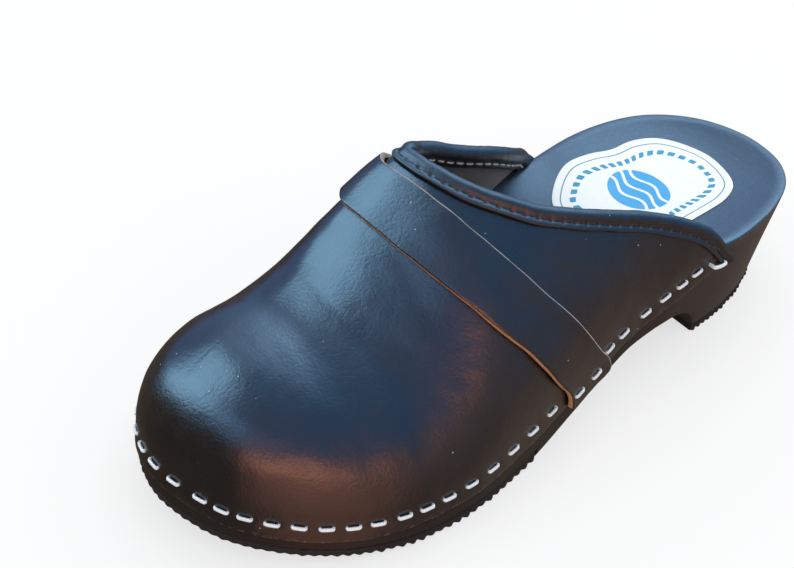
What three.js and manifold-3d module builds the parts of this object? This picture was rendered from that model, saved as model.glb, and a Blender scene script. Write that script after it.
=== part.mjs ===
// Wooden clog, left foot: carved wooden sole, stapled leather upper with a
// padded bound collar, an instep strap, rubber treads and a heel label.
// Millimetres. +Z is up, the toe points to -Y, the outer side of the foot is +X,
// and the origin lies on the ground under the middle of the bounding box.
//
// Words used throughout:
//   station  distance from the back of the heel toward the toe
//   across   sideways distance, positive toward the outer side
//   arc      distance along one side of the plan outline, from the tip of the toe
//   climb    way up the upper, 0 at its lower edge and 1 on the ridge
//   draw-in  share of the plan distance from the outline to the ridge
import * as THREE from 'three';
import { mergeVertices } from 'three/addons/utils/BufferGeometryUtils.js';
import Module from 'manifold-3d';

const { clamp, smoothstep } = THREE.MathUtils;
const wasm = await Module();
wasm.setup();

const OUTER = 1;
const INNER = -1;

// ---------------------------------------------------------- shared dimensions
const CENTRE_STATION = 132.5;    // station of the origin
const CENTRE_ACROSS = 1.848;     // sideways shift of the plan outline
const LEATHER = 2.0;             // thickness of the upper and of the strap
const FIT_GAP = 0.35;            // air between pieces that touch
const HEEL_TAPER = 5.4;          // how far the heel draws in at the ground
const FORE_TAPER = 1.0;          // the same at the forefoot
const TREAD_THICK = 3.0;         // rubber treads
const TREAD_BACK = 151;          // rear end of the forefoot tread's seat
const HEEL_FRONT = 61;           // front of the wooden heel
const STRAP_GAP = 0.4;           // air between the upper and the strap
const SOLE_BASE = TREAD_THICK + FIT_GAP;

// Plan outline of the wood at its widest, [station, across].
const OUTLINE = [
  [2.1, -0.4], [4.5, 15.6], [12.8, 26.1], [27.2, 33.3], [48.5, 38.3], [75.6, 38.9],
  [102.7, 38.8], [130.5, 42.9], [158.3, 48.1], [184.2, 51.0], [207.0, 49.1], [227.9, 41.5],
  [244.2, 30.3], [255.6, 16.3], [261.5, -5.5], [259.0, -19.6], [251.8, -31.2], [239.1, -40.8],
  [222.3, -45.8], [202.3, -47.3], [180.3, -45.3], [155.4, -40.0], [128.4, -35.7],
  [100.5, -34.9], [72.6, -37.7], [46.9, -37.6], [27.4, -33.2], [14.8, -25.3], [6.7, -15.3],
];
const OUTLINE_POINTS = 1450;

// Profiles along the foot, [station, height].
const EDGE_Z = [                 // lower edge of the leather
  [60.8, 36.3], [80.7, 30.4], [105.6, 23.8], [130.4, 17.7], [160.3, 13.0], [190.3, 10.3],
  [220.3, 10.4], [245.4, 13.8], [262.5, 17.9],
];
const GROUND_Z = [               // underside
  [88.4, 18.5], [100.4, 17.3], [115.3, 13.1], [130.2, 7.9], [145.1, 3.5], [160.1, 0.8],
  [180.1, 0.0], [200.1, 0.6], [220.1, 2.1], [240.2, 4.9], [262.3, 8.4],
];
const RIM_Z = [                  // rim of the footbed
  [0, 42.7], [60, 44.2], [80, 43.0], [105, 38.2], [130, 32.0], [160, 26.9], [190, 24.0],
  [220, 24.0], [245, 27.0], [262, 31.0],
];

// -------------------------------------------------------------------- helpers
const bySide = (outer, inner) => ({ [OUTER]: outer, [INNER]: inner });
const place = (station, across, z) =>
  new THREE.Vector3(across - CENTRE_ACROSS, CENTRE_STATION - station, z);
const stationOf = (point) => CENTRE_STATION - point.y;

// Shape-preserving cubic through [position, value] points, straight beyond the ends.
function smooth(points) {
  const last = points.length - 1;
  const at = points.map((p) => p[0]);
  const value = points.map((p) => p[1]);
  const slope = [];
  for (let i = 0; i < last; i++) {
    slope.push((value[i + 1] - value[i]) / (at[i + 1] - at[i]));
  }
  const tangent = [slope[0]];
  for (let i = 1; i < last; i++) {
    const before = at[i] - at[i - 1];
    const after = at[i + 1] - at[i];
    tangent[i] = slope[i - 1] * slope[i] <= 0
      ? 0
      : 3 * (before + after)
        / ((2 * after + before) / slope[i - 1] + (after + 2 * before) / slope[i]);
  }
  tangent[last] = slope[last - 1];
  return (t) => {
    if (t <= at[0]) return value[0] + tangent[0] * (t - at[0]);
    if (t >= at[last]) return value[last] + tangent[last] * (t - at[last]);
    let i = 0;
    while (t > at[i + 1]) i++;
    const width = at[i + 1] - at[i];
    const u = (t - at[i]) / width;
    return value[i] * (1 + 2 * u) * (1 - u) ** 2
      + tangent[i] * width * u * (1 - u) ** 2
      + value[i + 1] * u * u * (3 - 2 * u)
      + tangent[i + 1] * width * u * u * (u - 1);
  };
}

// Halves the range again and again around the place where isShort turns false.
function bisect(low, high, halvings, isShort) {
  for (let i = 0; i < halvings; i++) {
    const middle = (low + high) / 2;
    if (isShort(middle)) low = middle;
    else high = middle;
  }
  return (low + high) / 2;
}

const closedCurve = (points, count) =>
  new THREE.CatmullRomCurve3(points, true, 'centripetal').getPoints(count).slice(0, count);

const edgeZ = smooth(EDGE_Z);
const groundZ = smooth(GROUND_Z);
const rimZ = smooth(RIM_Z);

// --------------------------------------------------------------- plan outline
// The closed outline is split into two arcs that run from the tip to the heel.
// On its points x is the station and y is across.
const outlineLoop = closedCurve(
  OUTLINE.map(([station, across]) => new THREE.Vector3(station, across, 0)), OUTLINE_POINTS);
let tipIndex = 0;
let heelIndex = 0;
outlineLoop.forEach((p, i) => {
  if (p.x > outlineLoop[tipIndex].x) tipIndex = i;
  if (p.x < outlineLoop[heelIndex].x) heelIndex = i;
});

function arcFromTip(direction) {
  const count = outlineLoop.length;
  const points = [outlineLoop[tipIndex]];
  for (let i = tipIndex; i !== heelIndex;) {
    i = (i + direction + count) % count;
    points.push(outlineLoop[i]);
  }
  const lengths = [0];
  for (let i = 1; i < points.length; i++) {
    lengths.push(lengths[i - 1] + points[i].distanceTo(points[i - 1]));
  }
  const last = points.length - 1;
  // [station, across] at a distance along the arc
  const at = (arc) => {
    if (arc <= 0) return [points[0].x, points[0].y];
    if (arc >= lengths[last]) return [points[last].x, points[last].y];
    let low = 0;
    let high = last;
    while (high - low > 1) {
      const middle = (low + high) >> 1;
      if (lengths[middle] > arc) high = middle;
      else low = middle;
    }
    const from = points[low];
    const to = points[high];
    const u = (arc - lengths[low]) / (lengths[high] - lengths[low]);
    return [from.x + (to.x - from.x) * u, from.y + (to.y - from.y) * u];
  };
  return { at, total: lengths[last] };
}
const arcs = bySide(arcFromTip(-1), arcFromTip(1));
const ARC_STEP = 0.6;            // half the span that gives a direction along the arc

// Unit [station, across] direction away from the middle of the sole.
function outlineNormal(side, arc) {
  if (arc < ARC_STEP) return [1, 0];
  if (arc > arcs[side].total - ARC_STEP) return [-1, 0];
  const before = arcs[side].at(arc - ARC_STEP);
  const after = arcs[side].at(arc + ARC_STEP);
  const along = after[0] - before[0];
  const over = after[1] - before[1];
  const length = Math.hypot(along, over);
  return side > 0 ? [over / length, -along / length] : [-over / length, along / length];
}

// Outline point moved inward by inset, at height z.
function insetPoint(side, arc, inset, z) {
  const [station, across] = arcs[side].at(arc);
  const normal = outlineNormal(side, arc);
  return place(station - normal[0] * inset, across - normal[1] * inset, z);
}

const arcAtStation = (side, station) =>
  bisect(0, arcs[side].total, 50, (arc) => arcs[side].at(arc)[0] > station);
const middleStation = (arc) => (arcs[OUTER].at(arc)[0] + arcs[INNER].at(arc)[0]) / 2;

// Side and arc after walking from the outer side round the tip to the inner side.
function roundTip(walked, outerArc) {
  return walked <= outerArc
    ? { side: OUTER, arc: outerArc - walked }
    : { side: INNER, arc: walked - outerArc };
}
// The same round the back of the heel.
function roundHeel(walked, outerArc) {
  const outerWalk = arcs[OUTER].total - outerArc;
  return walked <= outerWalk
    ? { side: OUTER, arc: outerArc + walked }
    : { side: INNER, arc: arcs[INNER].total - (walked - outerWalk) };
}

// -------------------------------------------------------- surface of the upper
const UPPER_BACK = 60;           // stations between which the shape tables hold
const UPPER_TIP = 262;
const CREST_BACK = 168;          // toward the toe, the ridge lines fan out from here
const CREST_FRONT = 216;         // to here
const CREST_TIP = 261;           // outline station that reaches the crest's front
const ROOF_SOFT = 14;            // rounding of the ridge

// Height of the ridge, [station, height], and its sideways place, [station, across].
const ridgeZ = smooth([
  [61.9, 87.7], [92.0, 90.4], [122.1, 91.3], [142.1, 91.1], [162.0, 87.6], [181.7, 74.4],
  [201.4, 60.6], [217.3, 56.5], [236.4, 57.6], [263.5, 60.0],
]);
const ridgeLine = smooth([
  [61.9, -0.3], [122.1, -8.7], [152.0, -17.5], [181.7, -20.5], [217.3, -12.7],
]);
const ridgeAcross = (station) => ridgeLine(Math.min(station, CREST_FRONT));
// Roundness of the walls, [station, exponent of the superellipse].
const roundness = bySide(
  smooth([[60, 2.2], [120, 2.25], [150, 2.35], [180, 2.45], [210, 2.5], [262, 2.4]]),
  smooth([[60, 1.98], [120, 1.85], [150, 1.8], [180, 1.9], [210, 2.2], [262, 2.4]]),
);
// Fall away from the ridge, [station, slope].
const roofSlope = bySide(
  smooth([[60, 0.6], [120, 0.52], [150, 0.45], [180, 0.36], [210, 0.20], [262, 0.08]]),
  smooth([[60, 1.60], [120, 1.52], [150, 1.38], [180, 1.02], [210, 0.50], [262, 0.10]]),
);

// Station on the ridge that a point of the outline draws in to.
function crestStation(arc) {
  const station = middleStation(arc);
  if (station < CREST_BACK) return station;
  const share = clamp((station - CREST_BACK) / (CREST_TIP - CREST_BACK), 0, 1);
  const power = (CREST_TIP - CREST_BACK) / (CREST_FRONT - CREST_BACK);
  return CREST_BACK + (CREST_FRONT - CREST_BACK) * (1 - (1 - share) ** power);
}

const drawInAt = (climb) => 1 - Math.cos(climb * Math.PI / 2);

// A negative arc, or a climb past 1, crosses over to the other side.
function upperPoint(side, arc, climb) {
  if (arc < 0) {
    side = -side;
    arc = -arc;
  }
  if (climb > 1) {
    side = -side;
    climb = 2 - climb;
  }
  const drawIn = drawInAt(climb);
  const foot = arcs[side].at(arc);
  const crest = crestStation(arc);
  const station = foot[0] + (crest - foot[0]) * drawIn;
  const across = foot[1] + (ridgeAcross(crest) - foot[1]) * drawIn;
  const fromRidge = across - ridgeAcross(station);
  const roofZ = ridgeZ(station) - roofSlope[side](clamp(station, UPPER_BACK, UPPER_TIP))
    * (Math.sqrt(fromRidge * fromRidge + ROOF_SOFT ** 2) - ROOF_SOFT);
  const exponent = roundness[side](clamp(middleStation(arc), UPPER_BACK, UPPER_TIP));
  const rise = Math.max(1 - (1 - drawIn) ** exponent, 0) ** (1 / exponent);
  const footZ = edgeZ(foot[0]);
  return place(station, across, footZ + (roofZ - footZ) * rise);
}

function upperNormal(side, arc, climb) {
  const climbStep = 0.01;
  const along = upperPoint(side, arc + ARC_STEP, climb)
    .sub(upperPoint(side, arc - ARC_STEP, climb));
  const upward = upperPoint(side, arc, climb + climbStep)
    .sub(upperPoint(side, arc, Math.max(climb - climbStep, 0)));
  return along.cross(upward).multiplyScalar(side).normalize();
}

const skinAt = (side, arc, climb) => ({
  point: upperPoint(side, arc, climb),
  normal: upperNormal(side, arc, climb),
});

// Arc at which a line of equal climb reaches a station.
const arcOnUpper = (side, climb, station) =>
  bisect(0, 245, 46, (arc) => stationOf(upperPoint(side, arc, climb)) > station);

// Climb at which the upper stands a given height above its lower edge.
function climbAtRise(side, arc, rise) {
  const z = edgeZ(arcs[side].at(arc)[0]) + rise;
  return bisect(0, 0.6, 40, (climb) => upperPoint(side, arc, climb).z < z);
}
const skinAtRise = (side, arc, rise) => skinAt(side, arc, climbAtRise(side, arc, rise));

// Splits a course over the foot, 0 outer edge .. 1 ridge .. 2 inner edge.
const overFoot = (course) => (course <= 1
  ? { side: OUTER, climb: course }
  : { side: INNER, climb: 2 - course });

// ------------------------------------------------------------- solid building
function geometryOf(positions, index) {
  const geometry = new THREE.BufferGeometry();
  geometry.setAttribute('position', new THREE.Float32BufferAttribute(positions, 3));
  geometry.setIndex(index);
  return geometry;
}
const flatten = (points) => points.flatMap((p) => [p.x, p.y, p.z]);

function signedVolume(geometry) {
  const position = geometry.attributes.position;
  const index = geometry.index.array;
  const [a, b, c] = [new THREE.Vector3(), new THREE.Vector3(), new THREE.Vector3()];
  let sum = 0;
  for (let i = 0; i < index.length; i += 3) {
    a.fromBufferAttribute(position, index[i]);
    b.fromBufferAttribute(position, index[i + 1]);
    c.fromBufferAttribute(position, index[i + 2]);
    sum += a.dot(b.cross(c)) / 6;
  }
  return sum;
}

function flipTriangles(index, from = 0) {
  for (let i = from; i < index.length; i += 3) {
    [index[i + 1], index[i + 2]] = [index[i + 2], index[i + 1]];
  }
  return index;
}

// Makes all faces look outward.
function outward(geometry) {
  if (signedVolume(geometry) < 0) {
    geometry.setIndex(flipTriangles(Array.from(geometry.index.array)));
  }
  return geometry;
}

function toSolid(geometry) {
  const bare = geometry.clone();
  for (const key of Object.keys(bare.attributes)) {
    if (key !== 'position') bare.deleteAttribute(key);
  }
  const welded = outward(mergeVertices(bare, 1e-4));
  return new wasm.Manifold(new wasm.Mesh({
    numProp: 3,
    vertProperties: Float32Array.from(welded.attributes.position.array),
    triVerts: Uint32Array.from(welded.index.array),
  }));
}

function toGeometry(solid) {
  const mesh = solid.getMesh();
  return geometryOf(Array.from(mesh.vertProperties), Array.from(mesh.triVerts));
}

// Walls between neighbouring rings plus two end caps. Every ring is the same
// closed polygon; section is that polygon laid flat, to triangulate the caps.
function cappedLoft(rings, section) {
  const count = section.length;
  const index = [];
  for (let i = 0; i < rings.length - 1; i++) {
    for (let j = 0; j < count; j++) {
      const a = i * count + j;
      const b = i * count + (j + 1) % count;
      index.push(a, b, a + count, b, b + count, a + count);
    }
  }
  const capStart = index.length;
  const last = (rings.length - 1) * count;
  const flat = section.map(([x, y]) => new THREE.Vector2(x, y));
  for (const [a, b, c] of THREE.ShapeUtils.triangulateShape(flat, [])) {
    index.push(a, c, b);
    index.push(last + a, last + b, last + c);
  }
  // an edge used twice in one direction means the caps wind against the walls
  const directed = new Set();
  for (let i = 0; i < index.length; i += 3) {
    for (const [from, to] of [[0, 1], [1, 2], [2, 0]]) {
      directed.add(index[i + from] + '_' + index[i + to]);
    }
  }
  if (directed.size < index.length) flipTriangles(index, capStart);
  return outward(geometryOf(flatten(rings.flat()), index));
}

const extrude = (points, depth) => new THREE.ExtrudeGeometry(
  new THREE.Shape(points.map(([x, y]) => new THREE.Vector2(x, y))),
  { depth, bevelEnabled: false },
);

// Upright prism over a plan outline of placed points.
const prism = (points, bottom, top) =>
  extrude(points.map((p) => [p.x, p.y]), top - bottom).translate(0, 0, bottom);

// Polygon of [station, height] points, extruded right across the foot.
function sideBand(points) {
  const halfWidth = 75;
  const band = extrude(points.map(([s, z]) => [CENTRE_STATION - s, z]), 2 * halfWidth);
  // shape x -> world y, shape y -> world z, extrusion -> world x
  band.applyMatrix4(new THREE.Matrix4().set(
    0, 0, 1, -halfWidth,
    1, 0, 0, 0,
    0, 1, 0, 0,
    0, 0, 0, 1,
  ));
  return toSolid(band);
}

// ---------------------------------------------------------- wooden sole, block
const SOLE_STEPS = 38;           // columns along each side
const CHAMFER_IN = 3.0;          // chamfer round the footbed rim
const CHAMFER_DROP = 1.3;
const WALL_BELOW_EDGE = 1.5;     // the drawn-in wall ends below the leather edge
const WALL_BELOW_RIM = 6;        // and at least this far below the rim
const SPINE_BACK = 36;           // middle line on which the rings close
const SPINE_FRONT = 216;
const SPINE_FROM = 2;            // outline station mapped to the back of the spine
const SPINE_SPAN = 259.5;        // length of outline mapped to the whole spine
const CUP_RINGS = [0.22, 0.5];   // rings of the hollow, 0 at the rim .. 1 on the spine
// Depth of the footbed hollow, [station, depth].
const cupDepth = smooth([[0, 5.5], [40, 5.5], [80, 4.0], [130, 2.6], [190, 2.2], [262, 2.0]]);

// [station, across] on the spine; share is 0 at the toe and 1 at the heel.
function spineAt(share) {
  const outer = arcs[OUTER].at(share * arcs[OUTER].total)[0];
  const inner = arcs[INNER].at(share * arcs[INNER].total)[0];
  const middle = (outer + inner) / 2;
  const station = SPINE_BACK
    + (middle - SPINE_FROM) * ((SPINE_FRONT - SPINE_BACK) / SPINE_SPAN);
  const across = 1 + 2 * smoothstep(station, 60, 140)
    - 3 * smoothstep(station, 180, SPINE_FRONT);
  return [station, across];
}

// How far the wall stands inside the outline at a height.
function taperInset(station, z) {
  const taper = HEEL_TAPER + (FORE_TAPER - HEEL_TAPER) * smoothstep(station, 68, 125);
  const heelRim = RIM_Z[0][1];
  const fullWidthZ = heelRim + (edgeZ(station) - heelRim) * smoothstep(station, 56, 90);
  return taper * Math.max(0, 1 - z / fullWidthZ);
}

function soleBlock() {
  // columns run from the tip along the outer side to the heel and back inside
  const count = 2 * SOLE_STEPS;
  const columns = Array.from({ length: count }, (_, i) => {
    const side = i <= SOLE_STEPS ? OUTER : INNER;
    const spineIndex = i <= SOLE_STEPS ? i : count - i;
    const share = spineIndex / SOLE_STEPS;
    return { side, spineIndex, share, arc: share * arcs[side].total };
  });
  const ringAt = (zAt, insetAt) => columns.map(({ side, arc }) => {
    const [station] = arcs[side].at(arc);
    const z = zAt(station);
    return insetPoint(side, arc, insetAt(station, z), z);
  });
  const wallTop = (s) => Math.min(edgeZ(s) - WALL_BELOW_EDGE, rimZ(s) - WALL_BELOW_RIM);
  const rim = ringAt(rimZ, () => CHAMFER_IN);
  const cupRing = (inward) => columns.map(({ share }, i) => {
    const spine = spineAt(share);
    const rimStation = stationOf(rim[i]);
    const rimAcross = rim[i].x + CENTRE_ACROSS;
    const station = rimStation + (spine[0] - rimStation) * inward;
    const across = rimAcross + (spine[1] - rimAcross) * inward;
    const z = rimZ(station) - cupDepth(station) * (1 - (1 - inward) ** 2);
    return place(station, across, z);
  });
  const rings = [
    ringAt(() => SOLE_BASE, taperInset),
    ringAt(wallTop, taperInset),
    ringAt((s) => rimZ(s) - CHAMFER_DROP, () => 0),
    rim,
    ...CUP_RINGS.map(cupRing),
  ];
  const spine = Array.from({ length: SOLE_STEPS + 1 }, (_, i) => spineAt(i / SOLE_STEPS));
  const topSpine = spine.map(([s, x]) => place(s, x, rimZ(s) - cupDepth(s)));
  const lowSpine = spine.map(([s, x]) => place(s, x, SOLE_BASE));

  const index = [];
  for (let k = 0; k < rings.length - 1; k++) {
    for (let i = 0; i < count; i++) {
      const a = k * count + i;
      const b = k * count + (i + 1) % count;
      index.push(a, b, a + count, b, b + count, a + count);
    }
  }
  const topRing = (rings.length - 1) * count;
  const topStart = rings.length * count;
  const lowStart = topStart + spine.length;
  for (let i = 0; i < count; i++) {
    const j = (i + 1) % count;
    const spineI = columns[i].spineIndex;
    const spineJ = columns[j].spineIndex;
    index.push(topRing + i, topRing + j, topStart + spineI);
    index.push(topRing + j, topStart + spineJ, topStart + spineI);
    index.push(j, i, lowStart + spineI, j, lowStart + spineI, lowStart + spineJ);
  }
  return toSolid(outward(geometryOf(flatten([...rings.flat(), ...topSpine, ...lowSpine]), index)));
}

// Height of the wood's underside in front of the heel.
const woodUnder = (s) => groundZ(s) + (s < TREAD_BACK ? 0 : SOLE_BASE);

// Everything below the arch and the forefoot, from the front of the heel forward.
function archCutter() {
  const below = -2;
  const pastToe = 285;
  const lastStation = 268;
  const line = [                 // front face of the heel, [station, height]
    [HEEL_FRONT, below], [HEEL_FRONT + 0.4, 2.5], [62.8, 6.5], [66, 11], [71.5, 15],
    [79, 17.8], GROUND_Z[0],
  ];
  const follow = (s) => line.push([s, woodUnder(s)]);
  for (let s = 96; s < TREAD_BACK - 3; s += 8) follow(s);
  follow(TREAD_BACK - 0.1);
  for (let s = TREAD_BACK; s <= lastStation; s += 8) follow(s);
  line.push([pastToe, woodUnder(lastStation)], [pastToe, below]);
  return sideBand(line);
}

// --------------------------------------------------------- wooden sole, rebate
const REBATE_IN = 2.5;           // depth of the step that takes the leather
const REBATE_IN_COLLAR = 6.6;    // the same step where the padded collar ends
const REBATE_START = 52.4;       // station where the step begins
const REBATE_EASE = 0.8;         // air between the rebate wall and the leather
const REBATE_WALL_RISES = [6.5, 15];   // heights at which the wall is set
const REBATE_TOP = 56;           // the cutter ends above the wood
const REBATE_OUT = 7;            // and outside it
const REBATE_SEGMENTS = 66;

// The wall follows the inside of the leather, deeper where the collar ends.
function rebateCutter() {
  const outerArc = arcAtStation(OUTER, REBATE_START);
  const walk = outerArc + arcAtStation(INNER, REBATE_START);
  const rings = [];
  for (let i = 0; i <= REBATE_SEGMENTS; i++) {
    const { side, arc } = roundTip(walk * i / REBATE_SEGMENTS, outerArc);
    const [station] = arcs[side].at(arc);
    const floor = edgeZ(station) - FIT_GAP;
    const extra = (REBATE_IN_COLLAR - REBATE_IN) * (1 - smoothstep(station, 86, 104));
    const [lower, upper] = REBATE_WALL_RISES.map((rise) => {
      const { point, normal } = skinAtRise(side, arc, rise);
      return point.addScaledVector(normal, -(LEATHER + REBATE_EASE + extra));
    });
    rings.push([
      insetPoint(side, arc, REBATE_IN + extra, floor),
      lower,
      upper,
      new THREE.Vector3(upper.x, upper.y, REBATE_TOP),
      insetPoint(side, arc, -REBATE_OUT, REBATE_TOP),
      insetPoint(side, arc, -REBATE_OUT, floor),
    ]);
  }
  return toSolid(cappedLoft(rings, [[0, 0], [0.1, 1], [0.2, 2], [0.2, 3], [4, 3], [4, 0]]));
}

// --------------------------------------------------------------------- staples
const STAPLE_RISE = 5.6;         // staple line above the lower edge of the leather
const STAPLE_CROWN = 5.2;        // width of a staple
const STAPLE_WIRE = 1.2;         // wire thickness
const STAPLE_LEG = 6.6;          // leg length below the crown
const HOLE_EASE = 0.3;           // clearance round a staple leg
const HOLE_DEEPER = 0.5;         // clearance past the leg's end
const HOLE_ABOVE = 1.2;          // leg holes start this far above the staple's seat
const POCKET_GAP = 0.1;          // pockets start this far under the leather
const HOLE_WIDTH = STAPLE_WIRE + 2 * HOLE_EASE;
// Staples on the outer side, by station.
const OUTER_STAPLES = [
  257.6, 254.6, 250.4, 244.8, 238.7, 231.8, 224.7, 217.6, 209.3, 201.8, 193.6,
  184.9, 175.8, 166.3, 156.7, 146.6, 116.2, 108.6, 98.0, 88.8, 81.3, 74.2,
];
// The four round the tip of the toe, by distance along the edge from the first of those.
const TIP_STAPLES = [-35.6, -27.4, -19.2, -10.2];
const INNER_STAPLE_COUNT = 17;
const INNER_STAPLE_START = 9.6;  // distance of the first one from the last tip staple
const INNER_STRAP_FRONT = 144.5; // the inner row pauses between these stations
const INNER_STRAP_REAR = 115.5;
const INNER_STAPLE_END = 89;     // station of the last inner staple
const STRAP_STAPLES = [['front', 135.2], ['rear', 126.3]];   // by station
const STRAP_STAPLE = {
  lift: LEATHER + STRAP_GAP, leg: STAPLE_LEG + LEATHER, rise: 5.2,
};
const COLLAR_STAPLE_STATION = 65.2;
const COLLAR_STAPLE = { lift: 1.6, leg: 11.5, crown: 7.0, rise: 3.4, turn: -0.4 };

// A staple's frame has x along the crown and y out of the leather.
// lift raises the seat off the upper; turn is in radians about y.
function placeStaple(name, side, arc, options = {}) {
  const {
    rise = STAPLE_RISE, lift = 0, crown = STAPLE_CROWN, leg = STAPLE_LEG, turn = 0,
  } = options;
  const { point, normal } = skinAtRise(side, arc, rise);
  const tangent = skinAtRise(side, arc + 1, rise).point
    .sub(skinAtRise(side, Math.max(arc - 1, 0), rise).point);
  tangent.addScaledVector(normal, -tangent.dot(normal)).normalize();
  if (turn) tangent.applyAxisAngle(normal, turn * side);
  const frame = new THREE.Matrix4().makeBasis(tangent, normal, tangent.clone().cross(normal));
  const seat = point.clone().addScaledVector(normal, lift);
  return { name, point, seat, frame, lift, crown, leg };
}

function placeStaples() {
  const staples = [];
  const addRow = (word, places) => places.forEach(([side, arc], i) => {
    const number = String(i + 1).padStart(2, '0');
    staples.push(placeStaple(`staple_${word}_${number}`, side, arc));
  });
  const toeArc = arcAtStation(OUTER, OUTER_STAPLES[0]);
  addRow('outer', [
    ...TIP_STAPLES.map((d) => [toeArc + d < 0 ? INNER : OUTER, Math.abs(toeArc + d)]),
    ...OUTER_STAPLES.map((station) => [OUTER, arcAtStation(OUTER, station)]),
  ]);

  // the inner staples are shared out over the stretches before and behind the strap
  const frontStart = -(toeArc + TIP_STAPLES[0]) + INNER_STAPLE_START;
  const rearStart = arcAtStation(INNER, INNER_STRAP_REAR);
  const front = arcAtStation(INNER, INNER_STRAP_FRONT) - frontStart;
  const rear = arcAtStation(INNER, INNER_STAPLE_END) - rearStart;
  const frontCount = Math.round(INNER_STAPLE_COUNT * front / (front + rear));
  const spread = (start, length, count) =>
    Array.from({ length: count }, (_, i) => [INNER, start + length * i / (count - 1)]);
  addRow('inner', [
    ...spread(frontStart, front, frontCount),
    ...spread(rearStart, rear, INNER_STAPLE_COUNT - frontCount),
  ]);

  for (const [side, word] of [[OUTER, 'outer'], [INNER, 'inner']]) {
    for (const [end, station] of STRAP_STAPLES) {
      const arc = arcAtStation(side, station);
      staples.push(placeStaple(`staple_strap_${word}_${end}`, side, arc, STRAP_STAPLE));
    }
  }
  const collarArc = arcAtStation(OUTER, COLLAR_STAPLE_STATION);
  staples.push(placeStaple('staple_collar_outer', OUTER, collarArc, COLLAR_STAPLE));
  return staples;
}

function stapleGeometry({ crown, leg }) {
  const half = crown / 2;
  const inside = half - STAPLE_WIRE;
  const top = FIT_GAP + STAPLE_WIRE;
  return extrude([
    [-half, top], [-half, -leg], [-inside, -leg], [-inside, FIT_GAP],
    [inside, FIT_GAP], [inside, -leg], [half, -leg], [half, top],
  ], STAPLE_WIRE).translate(0, 0, -STAPLE_WIRE / 2);
}

// One narrow slot in the wood takes both legs.
function staplePocket({ crown, leg, lift, frame, point }) {
  const top = -LEATHER - POCKET_GAP;
  const depth = leg + HOLE_DEEPER + top + lift;
  const slot = new THREE.BoxGeometry(crown + 2 * HOLE_EASE, depth, HOLE_WIDTH);
  slot.translate(0, top - depth / 2, 0);
  return toSolid(slot.applyMatrix4(frame.clone().setPosition(point)));
}

function legHoles({ crown, leg, frame, seat }) {
  const depth = leg + HOLE_DEEPER + HOLE_ABOVE;
  return [-1, 1].map((end) => {
    const hole = new THREE.BoxGeometry(HOLE_WIDTH, depth, HOLE_WIDTH);
    hole.translate(end * (crown / 2 - STAPLE_WIRE / 2), HOLE_ABOVE - depth / 2, 0);
    return toSolid(hole.applyMatrix4(frame.clone().setPosition(seat)));
  });
}

// --------------------------------------------------------------- leather upper
const ROWS = 11;                 // rows on each side
const COLUMNS = 20;              // columns from the tip back to the top line
const FIRST_ROW = 0.14;          // climb of row 1, clear of the staple line
const rowClimb = (row) =>
  (row === 0 ? 0 : FIRST_ROW + (1 - FIRST_ROW) * (row - 1) / (ROWS - 1));
// Top line of the upper, [draw-in, station].
const topLine = bySide(
  smooth([
    [0, 62.8], [0.03, 67.0], [0.08, 73.6], [0.2, 92.0], [0.3, 109.2], [0.4, 124.6],
    [0.5, 138.2], [0.6, 148.0], [0.7, 154.6], [0.8, 158.9], [0.9, 161.4], [1, 162.3],
    [1.1, 161.4],
  ]),
  smooth([
    [0, 74.3], [0.04, 79.6], [0.08, 84.0], [0.14, 89.4], [0.2, 94.4], [0.3, 104.6],
    [0.4, 117.0], [0.55, 140.4], [0.7, 153.8], [0.88, 159.8], [1, 162.3], [1.12, 159.8],
  ]),
);
const topLineArc = (side, climb) => arcOnUpper(side, climb, topLine[side](drawInAt(climb)));

// Rows run from the outer edge over the ridge to the inner edge.
function upperShell() {
  const lastRow = 2 * ROWS;
  const positions = [];
  const index = [];
  const layer = (offset) => {
    const ids = [];
    for (let row = 0; row <= lastRow; row++) {
      const side = row <= ROWS ? OUTER : INNER;
      const climb = rowClimb(row <= ROWS ? row : lastRow - row);
      const end = topLineArc(side, climb);
      ids.push([]);
      for (let k = 0; k <= COLUMNS; k++) {
        if (k === 0 && row > ROWS) {
          // both sides share their points at the tip
          ids[row].push(ids[lastRow - row][0]);
          continue;
        }
        const { point, normal } = skinAt(side, end * k / COLUMNS, climb);
        point.addScaledVector(normal, offset);
        ids[row].push(positions.length / 3);
        positions.push(point.x, point.y, point.z);
      }
    }
    return ids;
  };
  const outside = layer(0);
  const inside = layer(-LEATHER);
  const quad = (a, b, c, d) => index.push(a, b, c, a, c, d);
  for (let m = 0; m < lastRow; m++) {
    const [out, outNext, inn, innNext] = [outside[m], outside[m + 1], inside[m], inside[m + 1]];
    for (let k = 0; k < COLUMNS; k++) {
      quad(out[k], out[k + 1], outNext[k + 1], outNext[k]);
      quad(inn[k], innNext[k], innNext[k + 1], inn[k + 1]);
    }
    quad(out[COLUMNS], inn[COLUMNS], innNext[COLUMNS], outNext[COLUMNS]);
  }
  const [outFirst, innFirst] = [outside[0], inside[0]];
  const [outLast, innLast] = [outside[lastRow], inside[lastRow]];
  for (let k = 0; k < COLUMNS; k++) {
    quad(outFirst[k], innFirst[k], innFirst[k + 1], outFirst[k + 1]);
    quad(outLast[k], outLast[k + 1], innLast[k + 1], innLast[k]);
  }
  return toSolid(outward(geometryOf(positions, index)));
}

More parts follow.
